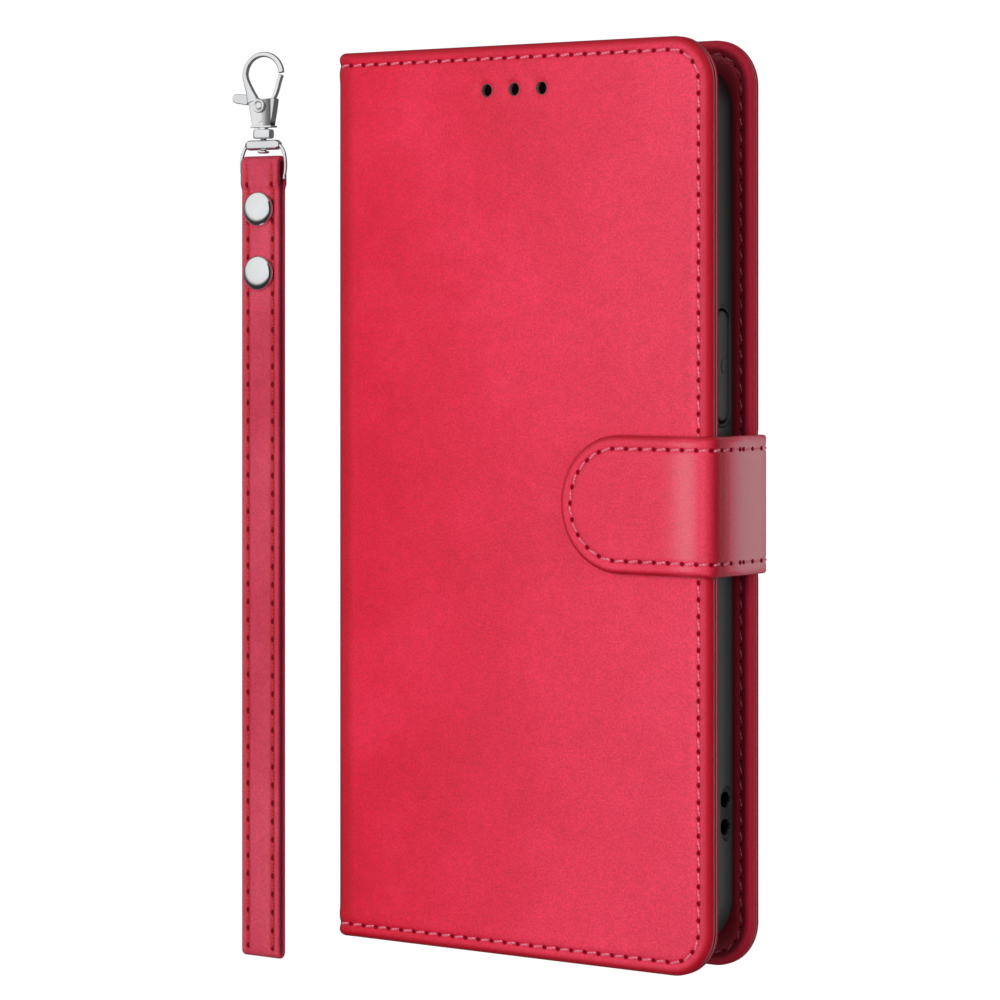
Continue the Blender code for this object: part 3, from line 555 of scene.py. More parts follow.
def walk(points, pitch, start=0.5):
    """Evenly spaced points along a line of points, with their directions: from just behind to just ahead."""
    points = np.asarray(points, float)
    steps = np.linalg.norm(np.diff(points, axis=0), axis=1)
    along = np.concatenate([[0], np.cumsum(steps)])
    count = int(along[-1] / pitch)
    at = (np.arange(count) + start) * pitch + (along[-1] - count * pitch) / 2
    way = on_line(at + 0.2 * MM, along, points) - on_line(at - 0.2 * MM, along, points)
    return on_line(at, along, points), way / np.linalg.norm(way, axis=1)[:, None]


def sewn_line(panel, sew, p_stop):
    """Points round a panel at one distance from its edge, from the left end of its top, round the right
    end, to the left end of its bottom."""
    r = max(panel.right - sew, 0.3 * MM)
    y = panel.half - sew
    x = panel.p_high - sew
    arc = np.linspace(0, np.pi / 2, 24)
    top = np.stack([x - r + r * np.sin(arc), y - r + r * np.cos(arc)], 1)
    low = top[::-1] * [1, -1]
    long_top = np.stack([np.linspace(p_stop, x - r, 200), np.full(200, y)], 1)
    side = np.stack([np.full(200, x), np.linspace(y - r, -(y - r), 200)], 1)
    return np.vstack([long_top[:-1], top[:-1], side[:-1], low[:-1], long_top[::-1] * [1, -1]])


def needle_holes(name, gaps, heading, place, height, radius, longer, look):
    """Low lenses on a sheet, painted dark for the shade in each needle hole: rings from the rim to the
    middle, each a little higher and darker.
    """
    angle = np.linspace(0, 2 * np.pi, 9)
    rings = np.array([1.0, 0.82, 0.5, 0.0])
    wide = radius * rings[None, :, None] * np.cos(angle)[None, None]
    run = radius * longer * rings[None, :, None] * np.sin(angle)[None, None]
    ahead_x, ahead_y = heading[:, 0, None, None], heading[:, 1, None, None]
    p = gaps[:, 0, None, None] - ahead_y * wide + ahead_x * run
    y = gaps[:, 1, None, None] + ahead_x * wide + ahead_y * run
    base, out = place(p, y)
    rise = height(p, y) + np.array([-0.03, 0.03, 0.05, 0.06])[None, :, None] * MM
    lens = base + out * rise[..., None]
    tone = np.broadcast_to(np.array([0.0, 0.15, 0.8, 1.0])[:, None], lens.shape[1:3])
    return outward(build(name, list(lens), look, [tone] * len(lens)))


def stitches(name, line, place, height, material=THREAD, pitch=PITCH, thick=0.21 * MM, long=0.78, slant=9.0,
             proud=0.07 * MM, hole=0.51 * MM, longer=1.15, look=HOLE):
    """Threads along a line on a sheet, and the needle holes between them. A thread is a rod of a few rings,
    turned by the slant from the line. It sinks as the fourth power of the share from its middle to its end
    and thins as the third."""
    sides, cuts = 6, 7
    spot, way = walk(line, pitch)
    turn = np.radians(slant)
    side = np.stack([-way[:, 1], way[:, 0]], 1)
    lean = way * np.cos(turn) + side * np.sin(turn)
    across = -way * np.sin(turn) + side * np.cos(turn)
    t = np.linspace(-1, 1, cuts)
    centre = spot[:, None] + lean[:, None] * (t[None, :, None] * pitch * long / 2)
    base, out = place(centre[..., 0], centre[..., 1])
    sunk = (np.abs(t) ** 4)[None] * (thick + proud + 0.1 * MM)
    lift = height(centre[..., 0], centre[..., 1]) + proud - sunk
    width = (thick * (1 - 0.35 * np.abs(t) ** 3))[None, :, None, None]
    nearby = centre + across[:, None] * 1e-5
    sideways = (place(nearby[..., 0], nearby[..., 1])[0] - base) / 1e-5
    middle = base + out * lift[..., None]
    angle = np.linspace(0, 2 * np.pi, sides, endpoint=False)
    c, s = np.cos(angle)[None, None, :, None], np.sin(angle)[None, None, :, None]
    ring = middle[:, :, None] + sideways[:, :, None] * (c * width) + out[:, :, None] * (s * width * 0.85)
    ids = np.arange(len(spot) * cuts * sides).reshape(-1, cuts, sides)
    after = np.roll(ids, -1, axis=2)
    quads = np.stack([ids[:, :-1], after[:, :-1], after[:, 1:], ids[:, 1:]], -1).reshape(-1, 4)
    caps = np.concatenate([ids[:, 0, ::-1], ids[:, -1]])
    rods = piece(name, ring.reshape(-1, 3), quads.tolist() + caps.tolist(), material)
    gaps = np.vstack([walk(line, pitch, 0.0)[0], spot[-1:] + way[-1:] * pitch / 2])
    heading = np.vstack([way, way[-1:]])
    return [rods, needle_holes(name + "_holes", gaps, heading, place, height, hole, longer, look)]


def put(objects, body=None, bend=None, stands=()):
    """Hangs pieces on a body of the frame, or, given a bend, bakes their place into their meshes and hangs
    them on no body.
    """
    for thing in objects:
        if bend:
            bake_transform(thing)
        else:
            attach(thing, body)
    if stands:
        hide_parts(*stands)


# ---- covers -------------------------------------------------------------------------------

FOLD_R = 1.5 * MM
FOLD_X = LEFT + FOLD_R
MIDDLE_Z = FACE / 2
ARC = FOLD_R * math.pi / 2
P_LOW = FOLD_X - ARC - (MIDDLE_Z - FOLD_R)
FOLD_REACH = 3 * MM


def bent(face_z, way):
    """A sheet that lies flat at face_z, turns a quarter circle down the fold and runs straight to the
    middle of the spine."""
    def place(p, y):
        p, y = np.broadcast_arrays(p, y)
        past = FOLD_X - p
        angle = np.clip(past / ARC, 0, 1) * np.pi / 2
        drop = np.maximum(past - ARC, 0)
        x = np.where(past <= 0, p, FOLD_X - FOLD_R * np.sin(angle))
        z = face_z - way * (FOLD_R * (1 - np.cos(angle)) + drop)
        return np.stack([x, y, z], -1), np.stack([-np.sin(angle), np.zeros_like(p), way * np.cos(angle)], -1)
    return place


def flat(face_z, way):
    """A flat sheet at face_z."""
    def place(p, y):
        p, y = np.broadcast_arrays(p, y)
        spot = np.stack([p, y, np.full_like(p, face_z)], -1)
        return spot, np.broadcast_to([0.0, 0.0, way], spot.shape)
    return place


def edge_painted_shade(panel):
    """Painted shade where the leather is turned at the edge, along the stitches as a bell, and over the fold
    as a bell that ends a little way in."""
    def deep(p, y):
        d = panel.inset(p, y)
        turned = 1 - smooth_step(d, 0.5 * MM, 2.0 * MM)
        sewn = 0.55 * bell(d, SEAM_IN, 0.5 * MM)
        fold = 0.75 * bell(np.minimum(p - FOLD_X + 0.5 * MM, 0.0), 0.0, 1 * MM)
        fold = fold * (1 - smooth_step(p, FOLD_X + 0.5 * MM, FOLD_X + 3.4 * MM))
        return np.clip(np.maximum(np.maximum(turned, sewn), fold), 0, 1)
    return deep


# the front cover: its skin with the fold, and three sound holes
HOLE_R = 1.25 * MM
HOLE_Y = TOP - 8.3 * MM
HOLES_X = [(k * 6.2 - 1.1) * MM for k in (-1, 0, 1)]
BOX = 3.1 * MM
front_panel = Panel(P_LOW, RIGHT, TOP, rolled=("right",), step=0.62 * MM,
                    marks_p=[HOLES_X[0] - BOX, *(x + BOX for x in HOLES_X)],
                    marks_y=(HOLE_Y - BOX, HOLE_Y + BOX))
front_place = bent(FACE, 1)


def front_height(p, y):
    """A rolled face, less a dip round each sound hole and a shallow groove beside the fold."""
    height = rolled(front_panel.inset(p, y), ROLL)
    for x in HOLES_X:
        away = np.hypot(p - x, y - HOLE_Y)
        dip = np.exp(-(np.maximum(away - HOLE_R, 0) / (0.55 * MM)) ** 1.5)
        height = height - 0.5 * MM * dip * (away < 4 * MM)
    return height - 0.10 * MM * bell(p, FOLD_X + 3.2 * MM, 0.8 * MM)


sound_holes = [((x - BOX, x + BOX), (HOLE_Y - BOX, HOLE_Y + BOX), round_hole(x, HOLE_Y, HOLE_R))
               for x in HOLES_X]
front_skin = slab("front_cover_skin", front_panel, front_place, front_height, ROLL, CRIMSON,
                  edge_painted_shade(front_panel), sound_holes)
front_bend = ("spine", "front_cover", (LEFT, 0, FACE - FOLD_REACH), (LEFT + FOLD_REACH, 0, FACE))
put([front_skin], bend=front_bend,
    stands=["front_cover_leather", "front_cover_board"])
front_seam = sewn_line(front_panel, SEAM_IN, FOLD_X - 1.2 * MM)
put(stitches("front_thread", front_seam, front_place, front_height), bend=front_bend)

# under each sound hole: a wall of cut board, then a floor painted dark as the shadow in the hole, as pairs of
# radius and height below the face
HOLE_WALL = [(1.26, -0.49), (1.19, -0.54), (1.17, -1.0), (1.17, -1.6)]
HOLE_FLOOR = [(1.17, -1.6), (1.1, -1.64), (0.0, -1.64)]
for n, x in enumerate(HOLES_X):
    angle = np.linspace(0, 2 * np.pi, 33)
    for name, profile, look in (("hole_wall_", HOLE_WALL, CORE), ("hole_pit_", HOLE_FLOOR, SHADOW.material)):
        rings = [np.stack([x + r * MM * np.cos(angle), HOLE_Y + r * MM * np.sin(angle),
                           np.full(33, FACE + z * MM)], -1) for r, z in profile]
        put([outward(build("%s%d" % (name, n), [np.stack(rings)], look))], "front_cover")


def edge_strip(name, panel, start, end, body):
    """The cut edge between the two skins of a cover. A band follows the outline from fold to fold; across
    it, from the start height to the end height, the inset makes two low ridges with a groove between. Its
    tones paint a highlight on each ridge and shade in the groove and along both seams."""
    share = [0.0, 0.02, 0.14, 0.30, 0.40, 0.50, 0.60, 0.70, 0.88, 0.98, 1.0, 0.0]
    inset = [0.60, 0.16, 0.05, 0.06, 0.16, 0.24, 0.16, 0.05, 0.04, 0.12, 0.60, 0.60]
    # painted light: below 0 a highlight on each ridge, near 1 shade in the groove and at the seams
    tone = np.array([1.0, 0.9, -0.55, -0.5, 0.9, 1.0, 0.9, -0.45, -0.5, 0.4, 1.0, 1.0])
    rows = []
    for t, d in zip(share, inset):
        line = sewn_line(panel, d * MM, LEFT + FOLD_REACH)
        rows.append(np.column_stack([line, np.full(len(line), start + (end - start) * t)]))
    put([outward(build(name, [np.stack(rows)], CUT_EDGE, [tone[:, None]]))], body)


def lining(side, panel, face_z, way, lip, holes=()):
    """The inside of a cover: a skin whose edge is rolled by the lip and painted lighter near it as a
    highlight on the roll, and its stitches."""
    def height(p, y):
        return rolled(panel.inset(p, y), lip)

    # the lighter edge colour of the lining comes in here: a painted highlight along the roll
    def deep(p, y):
        return 1 - smooth_step(panel.inset(p, y), 0.9 * MM, 1.7 * MM)

    place, cover = flat(face_z, way), side + "_cover"
    skin = slab(cover + "_inner", panel, place, height, lip + 0.05 * MM, LINING, deep, holes)
    put([skin], cover, stands=[cover + "_lining"])
    seam = sewn_line(panel, SEAM_IN, LEFT + FOLD_REACH)
    put(stitches(side + "_inner_thread", seam, place, height, THREAD_DARK, thick=0.13 * MM, long=0.6,
                 slant=16.0, hole=0.3 * MM, look=HOLE_LINING), cover)


FRONT_LIP, BACK_LIP = 0.55 * MM, 0.80 * MM
INNER_CORNER = 2.2 * MM
inner_panel = Panel(LEFT, RIGHT, TOP, left=INNER_CORNER, step=1.4 * MM)
lining("front", inner_panel, INNER_LOW[2], -1, FRONT_LIP)

# the back cover: its skin with the fold, a notch for the clasp and the camera window
CAMERA_Y = TOP - 22 * MM
CAMERA_BOX = ((-15 * MM, 15 * MM), (CAMERA_Y - 9.5 * MM, CAMERA_Y + 9.5 * MM))
CAMERA_HOLE = (*CAMERA_BOX, window_hole(0, CAMERA_Y, 26 * MM, 15 * MM, 4 * MM))
NOTCH_X = ANCHOR_LOW[0] - 0.2 * MM
NOTCH_Y = ANCHOR_HIGH[1] + 0.2 * MM
STEEP = 0.04 * MM
back_panel = Panel(P_LOW, RIGHT, TOP, rolled=("right",), step=1.0 * MM,
                   marks_p=(*CAMERA_BOX[0], NOTCH_X, NOTCH_X + STEEP),
                   marks_y=(*CAMERA_BOX[1], -NOTCH_Y, -NOTCH_Y + STEEP, NOTCH_Y - STEEP, NOTCH_Y))


def back_height(p, y):
    """A rolled face that never stands above the sheet, and lies at least 1 mm below it in the notch."""
    height = rolled(back_panel.inset(p, y), ROLL, puff=0.0)
    in_notch = (p > NOTCH_X + STEEP / 2) & (np.abs(y) < NOTCH_Y - STEEP / 2)
    return np.where(in_notch, np.minimum(height, -1.0 * MM), np.minimum(height, 0))


back_skin = slab("back_cover_skin", back_panel, bent(BACK_LOW[2], -1), back_height, ROLL, CRIMSON,
                 edge_painted_shade(back_panel), [CAMERA_HOLE])
back_bend = ("back_cover", "spine", (LEFT + FOLD_REACH, 0, 0), (LEFT, 0, FOLD_REACH))
put([back_skin], bend=back_bend,
    stands=["back_cover_leather", "back_cover_board", "spine_leather"])
floor_panel = Panel(LEFT, RIGHT, TOP, left=INNER_CORNER, marks_p=CAMERA_BOX[0], marks_y=CAMERA_BOX[1],
                    step=1.2 * MM)
lining("back", floor_panel, FLOOR_HIGH[2], 1, BACK_LIP, [CAMERA_HOLE])

LAP = 0.02 * MM
edge_strip("front_cover_edge", inner_panel, FACE - ROLL + LAP, INNER_LOW[2] + FRONT_LIP - LAP, "front_cover")
edge_strip("back_cover_edge", floor_panel, BACK_LOW[2] + ROLL - LAP, FLOOR_HIGH[2] - BACK_LIP + LAP,
           "back_cover")

# the inside of the spine
SPINE_LOW, SPINE_HIGH = span("spine_lining")
spine_panel = Panel(SPINE_LOW[2], SPINE_HIGH[2], TOP, right=0.0, step=1.5 * MM, turn=10)


def spine_place(p, y):
    """An upright sheet that faces the phone: p runs up it."""
    p, y = np.broadcast_arrays(p, y)
    spot = np.stack([np.full_like(p, SPINE_HIGH[0]), y, p], -1)
    return spot, np.broadcast_to([1.0, 0.0, 0.0], spot.shape)


def spine_height(p, y):
    """A rounded edge and no valley."""
    return rolled(spine_panel.inset(p, y), 0.7 * MM, deep=0, puff=0)


spine_inner = slab("spine_inner", spine_panel, spine_place, spine_height, 1.5 * MM, LINING, nothing)
put([spine_inner], "spine", stands=["spine_lining", "spine_board"])

# ---- clasp strap --------------------------------------------------------------------------

HALF_WIDE = TONGUE_HIGH[1]
T_UP = TONGUE_HIGH[2]
T_THICK = T_UP - TONGUE_UNDER
S_OUT = SIDE_HIGH[0]
S_THICK = S_OUT - SIDE_INNER
CLASP_SEAM = 2.4 * MM
JOIN_Z = 8.5 * MM
BEND = 2.2 * MM
TIP_X = TONGUE_LOW[0]
TOP_RUN = (S_OUT - BEND) - TIP_X
CREST = TOP_RUN + BEND * math.pi / 2
SIDE_RUN = T_UP - BEND - JOIN_Z
UP_END = CREST + SIDE_RUN
LOW_BEND = 1.3 * MM
LOW_SIDE = JOIN_Z - LOW_BEND
LOW_TURNED = LOW_SIDE + LOW_BEND * math.pi / 2
LOW_END = LOW_TURNED + (S_OUT - LOW_BEND) - ANCHOR_LOW[0]
up_panel = Panel(0.0, UP_END, HALF_WIDE, left=HALF_WIDE, right=0.0, rolled=("left",), step=0.8 * MM, turn=34,
                 marks_p=(TOP_RUN, (TOP_RUN + CREST) / 2, CREST))
low_panel = Panel(0.0, LOW_END, HALF_WIDE, right=0.0, rolled=(), step=0.8 * MM, turn=20,
                  marks_p=(LOW_SIDE, (LOW_SIDE + LOW_TURNED) / 2, LOW_TURNED))


def over_place(p, y):
    """The strap from its tip, at p 0: straight over the front, a quarter circle, half-way down the side."""
    p, y = np.broadcast_arrays(p, y)
    angle = np.clip((p - TOP_RUN) / (CREST - TOP_RUN), 0, 1) * np.pi / 2
    drop = np.maximum(p - CREST, 0)
    x = np.where(p <= TOP_RUN, TIP_X + p, S_OUT - BEND + BEND * np.sin(angle))
    z = T_UP - BEND * (1 - np.cos(angle)) - drop
    return np.stack([x, y, z], -1), np.stack([np.sin(angle), np.zeros_like(p), np.cos(angle)], -1)


def under_place(p, y):
    """The strap from half-way down the side: straight, a quarter circle, and in under the back cover."""
    p, y = np.broadcast_arrays(p, y)
    angle = np.clip((p - LOW_SIDE) / (LOW_TURNED - LOW_SIDE), 0, 1) * np.pi / 2
    run = np.maximum(p - LOW_TURNED, 0)
    x = S_OUT - LOW_BEND + LOW_BEND * np.cos(angle) - run
    z = np.where(p <= LOW_SIDE, JOIN_Z - p, LOW_BEND - LOW_BEND * np.sin(angle)) + LAP
    return np.stack([x, y, z], -1), np.stack([np.cos(angle), np.zeros_like(p), -np.sin(angle)], -1)


def strap_solid(name, panel, place, height, thick, deep):
    """A closed strap: its face follows height, its back the same rounding, and both meet half-way."""
    spot, out = place(panel.P, panel.y)
    t = thick(panel.P)
    top = spot + out * height(panel.P, panel.y)[..., None]
    low = shoulder(panel.inset(panel.P, panel.y), t / 2) - t
    under = spot + out * low[..., None]
    value = deep(panel.P, panel.y)
    end = np.stack([top[:, -1], under[:, -1]])
    return outward(build(name, [top, under, end], CRIMSON, [value, value, None]))


def seam_valley(d):
    """The depth of the valley along the stitches."""
    return 0.16 * MM * bell(d, CLASP_SEAM, 0.45 * MM)


def up_thick(p):
    """The tongue's thickness, then the side's."""
    return T_THICK + (S_THICK - T_THICK) * smooth_step(p, TOP_RUN - 2 * MM, CREST)


def low_thick(p):
    """The side's thickness, then the anchor's."""
    return S_THICK + (0.8 * MM - S_THICK) * smooth_step(p, LOW_SIDE, LOW_TURNED)


def up_height(p, y):
    """A rounded edge half as high as the strap is thick, less the seam's valley, plus a slight padding over
    the front."""
    d = up_panel.inset(p, y)
    padding = smooth_step(d, 2.8 * MM, 6 * MM) * (1 - smooth_step(p, TOP_RUN - 6 * MM, TOP_RUN))
    return -shoulder(d, up_thick(p) / 2) - seam_valley(d) + 0.10 * MM * padding


def low_height(p, y):
    """The same rounded edge, and the valley as far as the lower turn."""
    d = low_panel.inset(p, y)
    return -shoulder(d, low_thick(p) / 2) - seam_valley(d) * (p < LOW_TURNED)


def painted_side_sheen(down):
    """How much pale painted reflection of the floor lies on the strap at a distance down its side: none at
    the fold, most at the foot.
    """
    return smooth_step(down, 1.5 * MM, 9.5 * MM)


def clasp_deep(d, painted_sheen, fold=0.0):
    """Painted shade at the turned edge, along the seam and over the fold, and pale where the painted sheen
    lies, less so at the edge.
    """
    turned = 1 - smooth_step(d, 0.3 * MM, 1.3 * MM)
    deep = np.clip(np.maximum(np.maximum(turned, 0.5 * bell(d, CLASP_SEAM, 0.5 * MM)), fold), 0, 1)
    painted_sheen = painted_sheen * (0.6 + 0.4 * smooth_step(d, 0.3 * MM, 2.2 * MM))
    return deep * (1 - np.clip(1.2 * painted_sheen, 0, 0.95)) - 0.9 * painted_sheen


def up_deep(p, y):
    """Painted shade over the fold, deep before its crest as a bell and fading after it; a pale painted sheen
    lies as a bell before the fold.
    """
    after = 1 - smooth_step(p, CREST + 1.2 * MM, CREST + 4.6 * MM)
    fold = 0.92 * np.where(p < CREST, bell(p, CREST, 2.9 * MM), after)
    painted_sheen = np.maximum(painted_side_sheen(p - CREST), 0.30 * bell(p, TOP_RUN - 3.2 * MM, 3.0 * MM))
    return clasp_deep(up_panel.inset(p, y), painted_sheen, fold)


def low_deep(p, y):
    """Pale painted reflection down the side, and less and less of it round the lower turn."""
    painted_sheen = painted_side_sheen(p + SIDE_RUN) * (1 - smooth_step(p, LOW_SIDE, LOW_TURNED))
    return clasp_deep(low_panel.inset(p, y), painted_sheen)


def tip_line(r, end):
    """Points from one long side of the strap, a half circle of radius r round its tip, to the other."""
    arc = np.linspace(-np.pi / 2, np.pi / 2, 60)
    tip = np.stack([HALF_WIDE - r * np.cos(arc), -r * np.sin(arc)], 1)
    a = np.stack([np.linspace(end, HALF_WIDE, 200), np.full(200, r)], 1)
    return np.vstack([a[:-1], tip[1:-1], a[::-1] * [1, -1]])


SEAM_Y = HALF_WIDE - CLASP_SEAM
upper = strap_solid("clasp_strap_upper", up_panel, over_place, up_height, up_thick, up_deep)
up_bend = ("clasp_side", "clasp_tongue", (S_OUT, 0, T_UP - 3.0 * MM), (S_OUT - 2.6 * MM, 0, T_UP))
put([upper], bend=up_bend,
    stands=["clasp_tongue_leather", "clasp_tongue_lining", "clasp_magnet"])
put(stitches("clasp_thread_upper", tip_line(SEAM_Y, UP_END - 0.3 * MM), over_place, up_height), bend=up_bend)

lower = strap_solid("clasp_strap_lower", low_panel, under_place, low_height, low_thick, low_deep)
low_bend = ("back_cover", "clasp_side", (RIGHT - 0.6 * MM, 0, 0), (S_OUT, 0, 2.4 * MM))
put([lower], bend=low_bend,
    stands=["clasp_anchor", "clasp_side_leather", "clasp_side_lining"])
for way, letter in ((1, "a"), (-1, "b")):
    seam = np.stack([np.linspace(0, LOW_TURNED, 100), np.full(100, way * SEAM_Y)], 1)
    put(stitches("clasp_thread_low_" + letter, seam, under_place, low_height), bend=low_bend)

# ---- phone shell --------------------------------------------------------------------------

SX, SY = SHELL_HIGH[0], SHELL_HIGH[1]
SZ0, SZ1 = SHELL_LOW[2], SHELL_HIGH[2]
SHELL_R = 9.5 * MM
HOLES_Y = -SY + 24.75 * MM
HOLES_Z = SZ0 + 2.35 * MM
PAD_Z = SZ0 + 4.3 * MM
PAD_R = 2 * MM
PADS = {"volume": (24.9 * MM, 20 * MM), "power": (-1.0 * MM, 10 * MM)}


def stadium(y, z, middle_y, middle_z, length, width):
    """Distance outside a shape with round ends that lies along y."""
    run = length / 2 - width / 2
    dy = np.abs(y - middle_y)
    return np.hypot(np.maximum(dy - run, 0), z - middle_z) - width / 2


def shell_outline(inset):
    """Points and outward directions round the shell: a rounded rectangle, with closer points along its right
    side near the two holes and the ends of the keys."""
    side = [-SY + SHELL_R]
    while side[-1] < SY - SHELL_R - 1e-9:
        y = side[-1]
        close = min(abs(y - HOLES_Y) - 6 * MM,
                    *(abs(abs(y - middle) - length / 2) - 2.5 * MM for middle, length in PADS.values()))
        side.append(min(y + (0.14 * MM if close < 0 else 0.45 * MM), SY - SHELL_R))
    side = np.array(side)
    arc = np.linspace(0, np.pi / 2, 22)
    r = SHELL_R - inset
    cx, cy = SX - SHELL_R, SY - SHELL_R
    parts = [(np.stack([np.full(len(side), SX - inset), side], 1), np.tile([1.0, 0.0], (len(side), 1)))]
    for quarter, sx, sy in ((0, 1, 1), (1, -1, 1), (2, -1, -1), (3, 1, -1)):
        a = arc + quarter * np.pi / 2
        way = np.stack([np.cos(a), np.sin(a)], 1)
        parts.append((np.array([sx * cx, sy * cy]) + way * r, way))
        if quarter == 1:
            run = np.linspace(cy, -cy, 80)[1:-1]
            left = np.stack([np.full(len(run), -SX + inset), run], 1)
            parts.append((left, np.tile([-1.0, 0.0], (len(run), 1))))
    points = np.vstack([p for p, _ in parts])
    ways = np.vstack([w for _, w in parts])
    return np.vstack([points, points[:1]]), np.vstack([ways, ways[:1]])


def shell_relief(y, z, on_right):
    """How far the right wall is moulded in or out, and how much painted shade darkens it there: a shallow
    recess, painted a little darker, with a painted shadow along its upper rim, two holes in it painted dark
    for the shade inside, and a raised frame round an opening painted dark as shade for each key."""
    recess = stadium(y, z, HOLES_Y, HOLES_Z, 9.5 * MM, 4.0 * MM)
    relief = -0.5 * MM * (1 - smooth_step(recess, -0.12 * MM, 0.12 * MM))
    dark = 0.12 * (1 - smooth_step(recess, -0.1 * MM, 0.1 * MM))
    rim = bell(recess, 0.0, 0.18 * MM) * smooth_step(z - HOLES_Z, -0.9 * MM, 0.9 * MM)
    dark = np.maximum(dark, 0.95 * rim)
    for way in (-1, 1):
        hole = np.hypot(y - HOLES_Y - way * 2.45 * MM, z - HOLES_Z) - 1.35 * MM
        relief = relief - 1.0 * MM * (1 - smooth_step(hole, -0.1 * MM, 0.08 * MM))
        dark = np.maximum(dark, 1 - smooth_step(hole, 0.0, 0.2 * MM))
    for middle, length in PADS.values():
        pad = stadium(y, z, middle, PAD_Z, length + 1.2 * MM, 2 * PAD_R + 1.2 * MM)
        inner = 1 - smooth_step(pad, -0.35 * MM, -0.1 * MM)
        relief = relief + 0.28 * MM * bell(pad, 0.0, 0.35 * MM) - 1.0 * MM * inner
        dark = np.maximum(dark, inner)
    return relief * on_right, dark * on_right


def shell_ring(z, inset=0.0, moulded=False):
    """One ring round the shell at height z, and how much painted shade darkens it."""
    points, way = shell_outline(inset)
    relief = dark = np.zeros(len(points))
    if moulded:
        on_right = (way[:, 0] > 0.999) & (np.abs(points[:, 1]) < SY - SHELL_R)
        relief, dark = shell_relief(points[:, 1], z, on_right)
    return np.column_stack([points + way * relief[:, None], np.full(len(points), z)]), dark


# the shell's wall, from its foot up the outside, over the rim and down the inside: pairs of inset and height
FOOT = [(1.0, 0.0), (0.55, 0.1), (0.25, 0.3), (0.08, 0.6)]
RIM = [(0.1, -0.5), (0.3, -0.18), (0.6, 0.0), (1.9, 0.0), (2.15, -0.12), (2.2, -0.35), (1.6, -1.1),
       (1.6, -7.2), (2.1, -7.78)]
rings = [shell_ring(SZ0 + z * MM, inset * MM) for inset, z in FOOT]
rings += [shell_ring(z, moulded=True) for z in np.linspace(SZ0 + 1.0 * MM, SZ1 - 0.9 * MM, 44)]
rings += [shell_ring(SZ1 + z * MM, inset * MM) for inset, z in RIM]
wall = [np.stack(column) for column in zip(*rings)]
put([outward(build("phone_shell_wall", wall[:1], SHELL, wall[1:]))], "back_cover",
    stands=["phone_shell"])
FLOOR_IN = 1.9 * MM
tray_panel = Panel(-SX + FLOOR_IN, SX - FLOOR_IN, SY - FLOOR_IN, left=7.4 * MM, right=7.4 * MM,
                   marks_p=CAMERA_BOX[0], marks_y=CAMERA_BOX[1], step=1.6 * MM, turn=16)
tray = slab("phone_shell_floor", tray_panel, flat(SZ0 + 0.8 * MM, 1), nothing, 0.8 * MM, SHELL, nothing,
            [(*CAMERA_BOX, window_hole(0, CAMERA_Y, 25 * MM, 14 * MM, 3.5 * MM))])
put([tray], "back_cover")

# a key, and the raised oval in its middle, as pairs of radius and height
PAD = [(2.0, -0.55), (2.0, -0.1), (1.93, 0.12), (1.75, 0.24), (1.45, 0.30), (1.0, 0.33), (0.5, 0.34),
       (0.0, 0.34)]
OVAL = [(1.0, 0.30), (0.9, 0.46), (0.6, 0.52), (0.0, 0.53)]
for key, (middle, length) in PADS.items():
    angle = np.linspace(0, 2 * np.pi, 73)
    ends = np.where(np.cos(angle) >= 0, 1, -1) * (length / 2 - PAD_R)
    pad = np.stack([np.stack([SX + x * MM + 0 * angle, middle + ends + r * MM * np.cos(angle),
                              PAD_Z + r * MM * np.sin(angle)], -1) for r, x in PAD])
    angle = np.linspace(0, 2 * np.pi, 33)
    oval = np.stack([np.stack([SX + x * MM + 0 * angle, middle + 1.5 * MM * r * np.cos(angle),
                               PAD_Z + 0.75 * MM * r * np.sin(angle)], -1) for r, x in OVAL])
    put([outward(build(key + "_pad", [pad], SHELL)), outward(build(key + "_pad_mark", [oval], SHELL))],
        key + "_key", stands=[key + "_button"])

# ---- wrist strap --------------------------------------------------------------------------

L_TOP, L_BOTTOM = STRAP_HIGH[1], STRAP_LOW[1]
STRAP_Z = (STRAP_LOW[2] + STRAP_HIGH[2]) / 2
HALF_W = (STRAP_HIGH[0] - STRAP_LOW[0]) / 2
STRAP_SEAM = 3.15 * MM
BAND_EDGE = 0.5 * MM
CLOSE, OPEN, SKIN = 0.70 * MM, 1.15 * MM, 1.1 * MM
BAND_FACE = SKIN / 2 - 0.05 * MM
TOP_TURN = L_TOP - OPEN - SKIN / 2
BOTTOM_TURN = L_BOTTOM + CLOSE + SKIN / 2
SPREAD_LOW = RING_LOW[1] - 1.9 * MM
SPREAD_HIGH = RING_LOW[1] - 0.5 * MM


def half_gap(y):
    """Half the space between the middles of the two layers, which part below the ring."""
    return CLOSE + (OPEN - CLOSE) * smooth_step(y, SPREAD_LOW, SPREAD_HIGH)


def strap_middle():
    """The middle line of the band round its whole loop: half a circle, a layer, half a circle, a layer."""
    arc = np.linspace(np.pi / 2, 3 * np.pi / 2, 15)
    bottom = np.stack([BOTTOM_TURN + CLOSE * np.cos(arc), CLOSE * np.sin(arc)], 1)
    run = np.linspace(BOTTOM_TURN, SPREAD_LOW, 420)[1:]
    spread = np.linspace(SPREAD_LOW, SPREAD_HIGH, 8)[1:]
    y = np.concatenate([run, spread])
    lower = np.stack([y, -half_gap(y)], 1)
    arc = np.linspace(-np.pi / 2, np.pi / 2, 17)
    top = np.stack([TOP_TURN + OPEN * np.cos(arc), OPEN * np.sin(arc)], 1)
    return np.vstack([bottom, lower, top, lower[::-1] * [1, -1]])


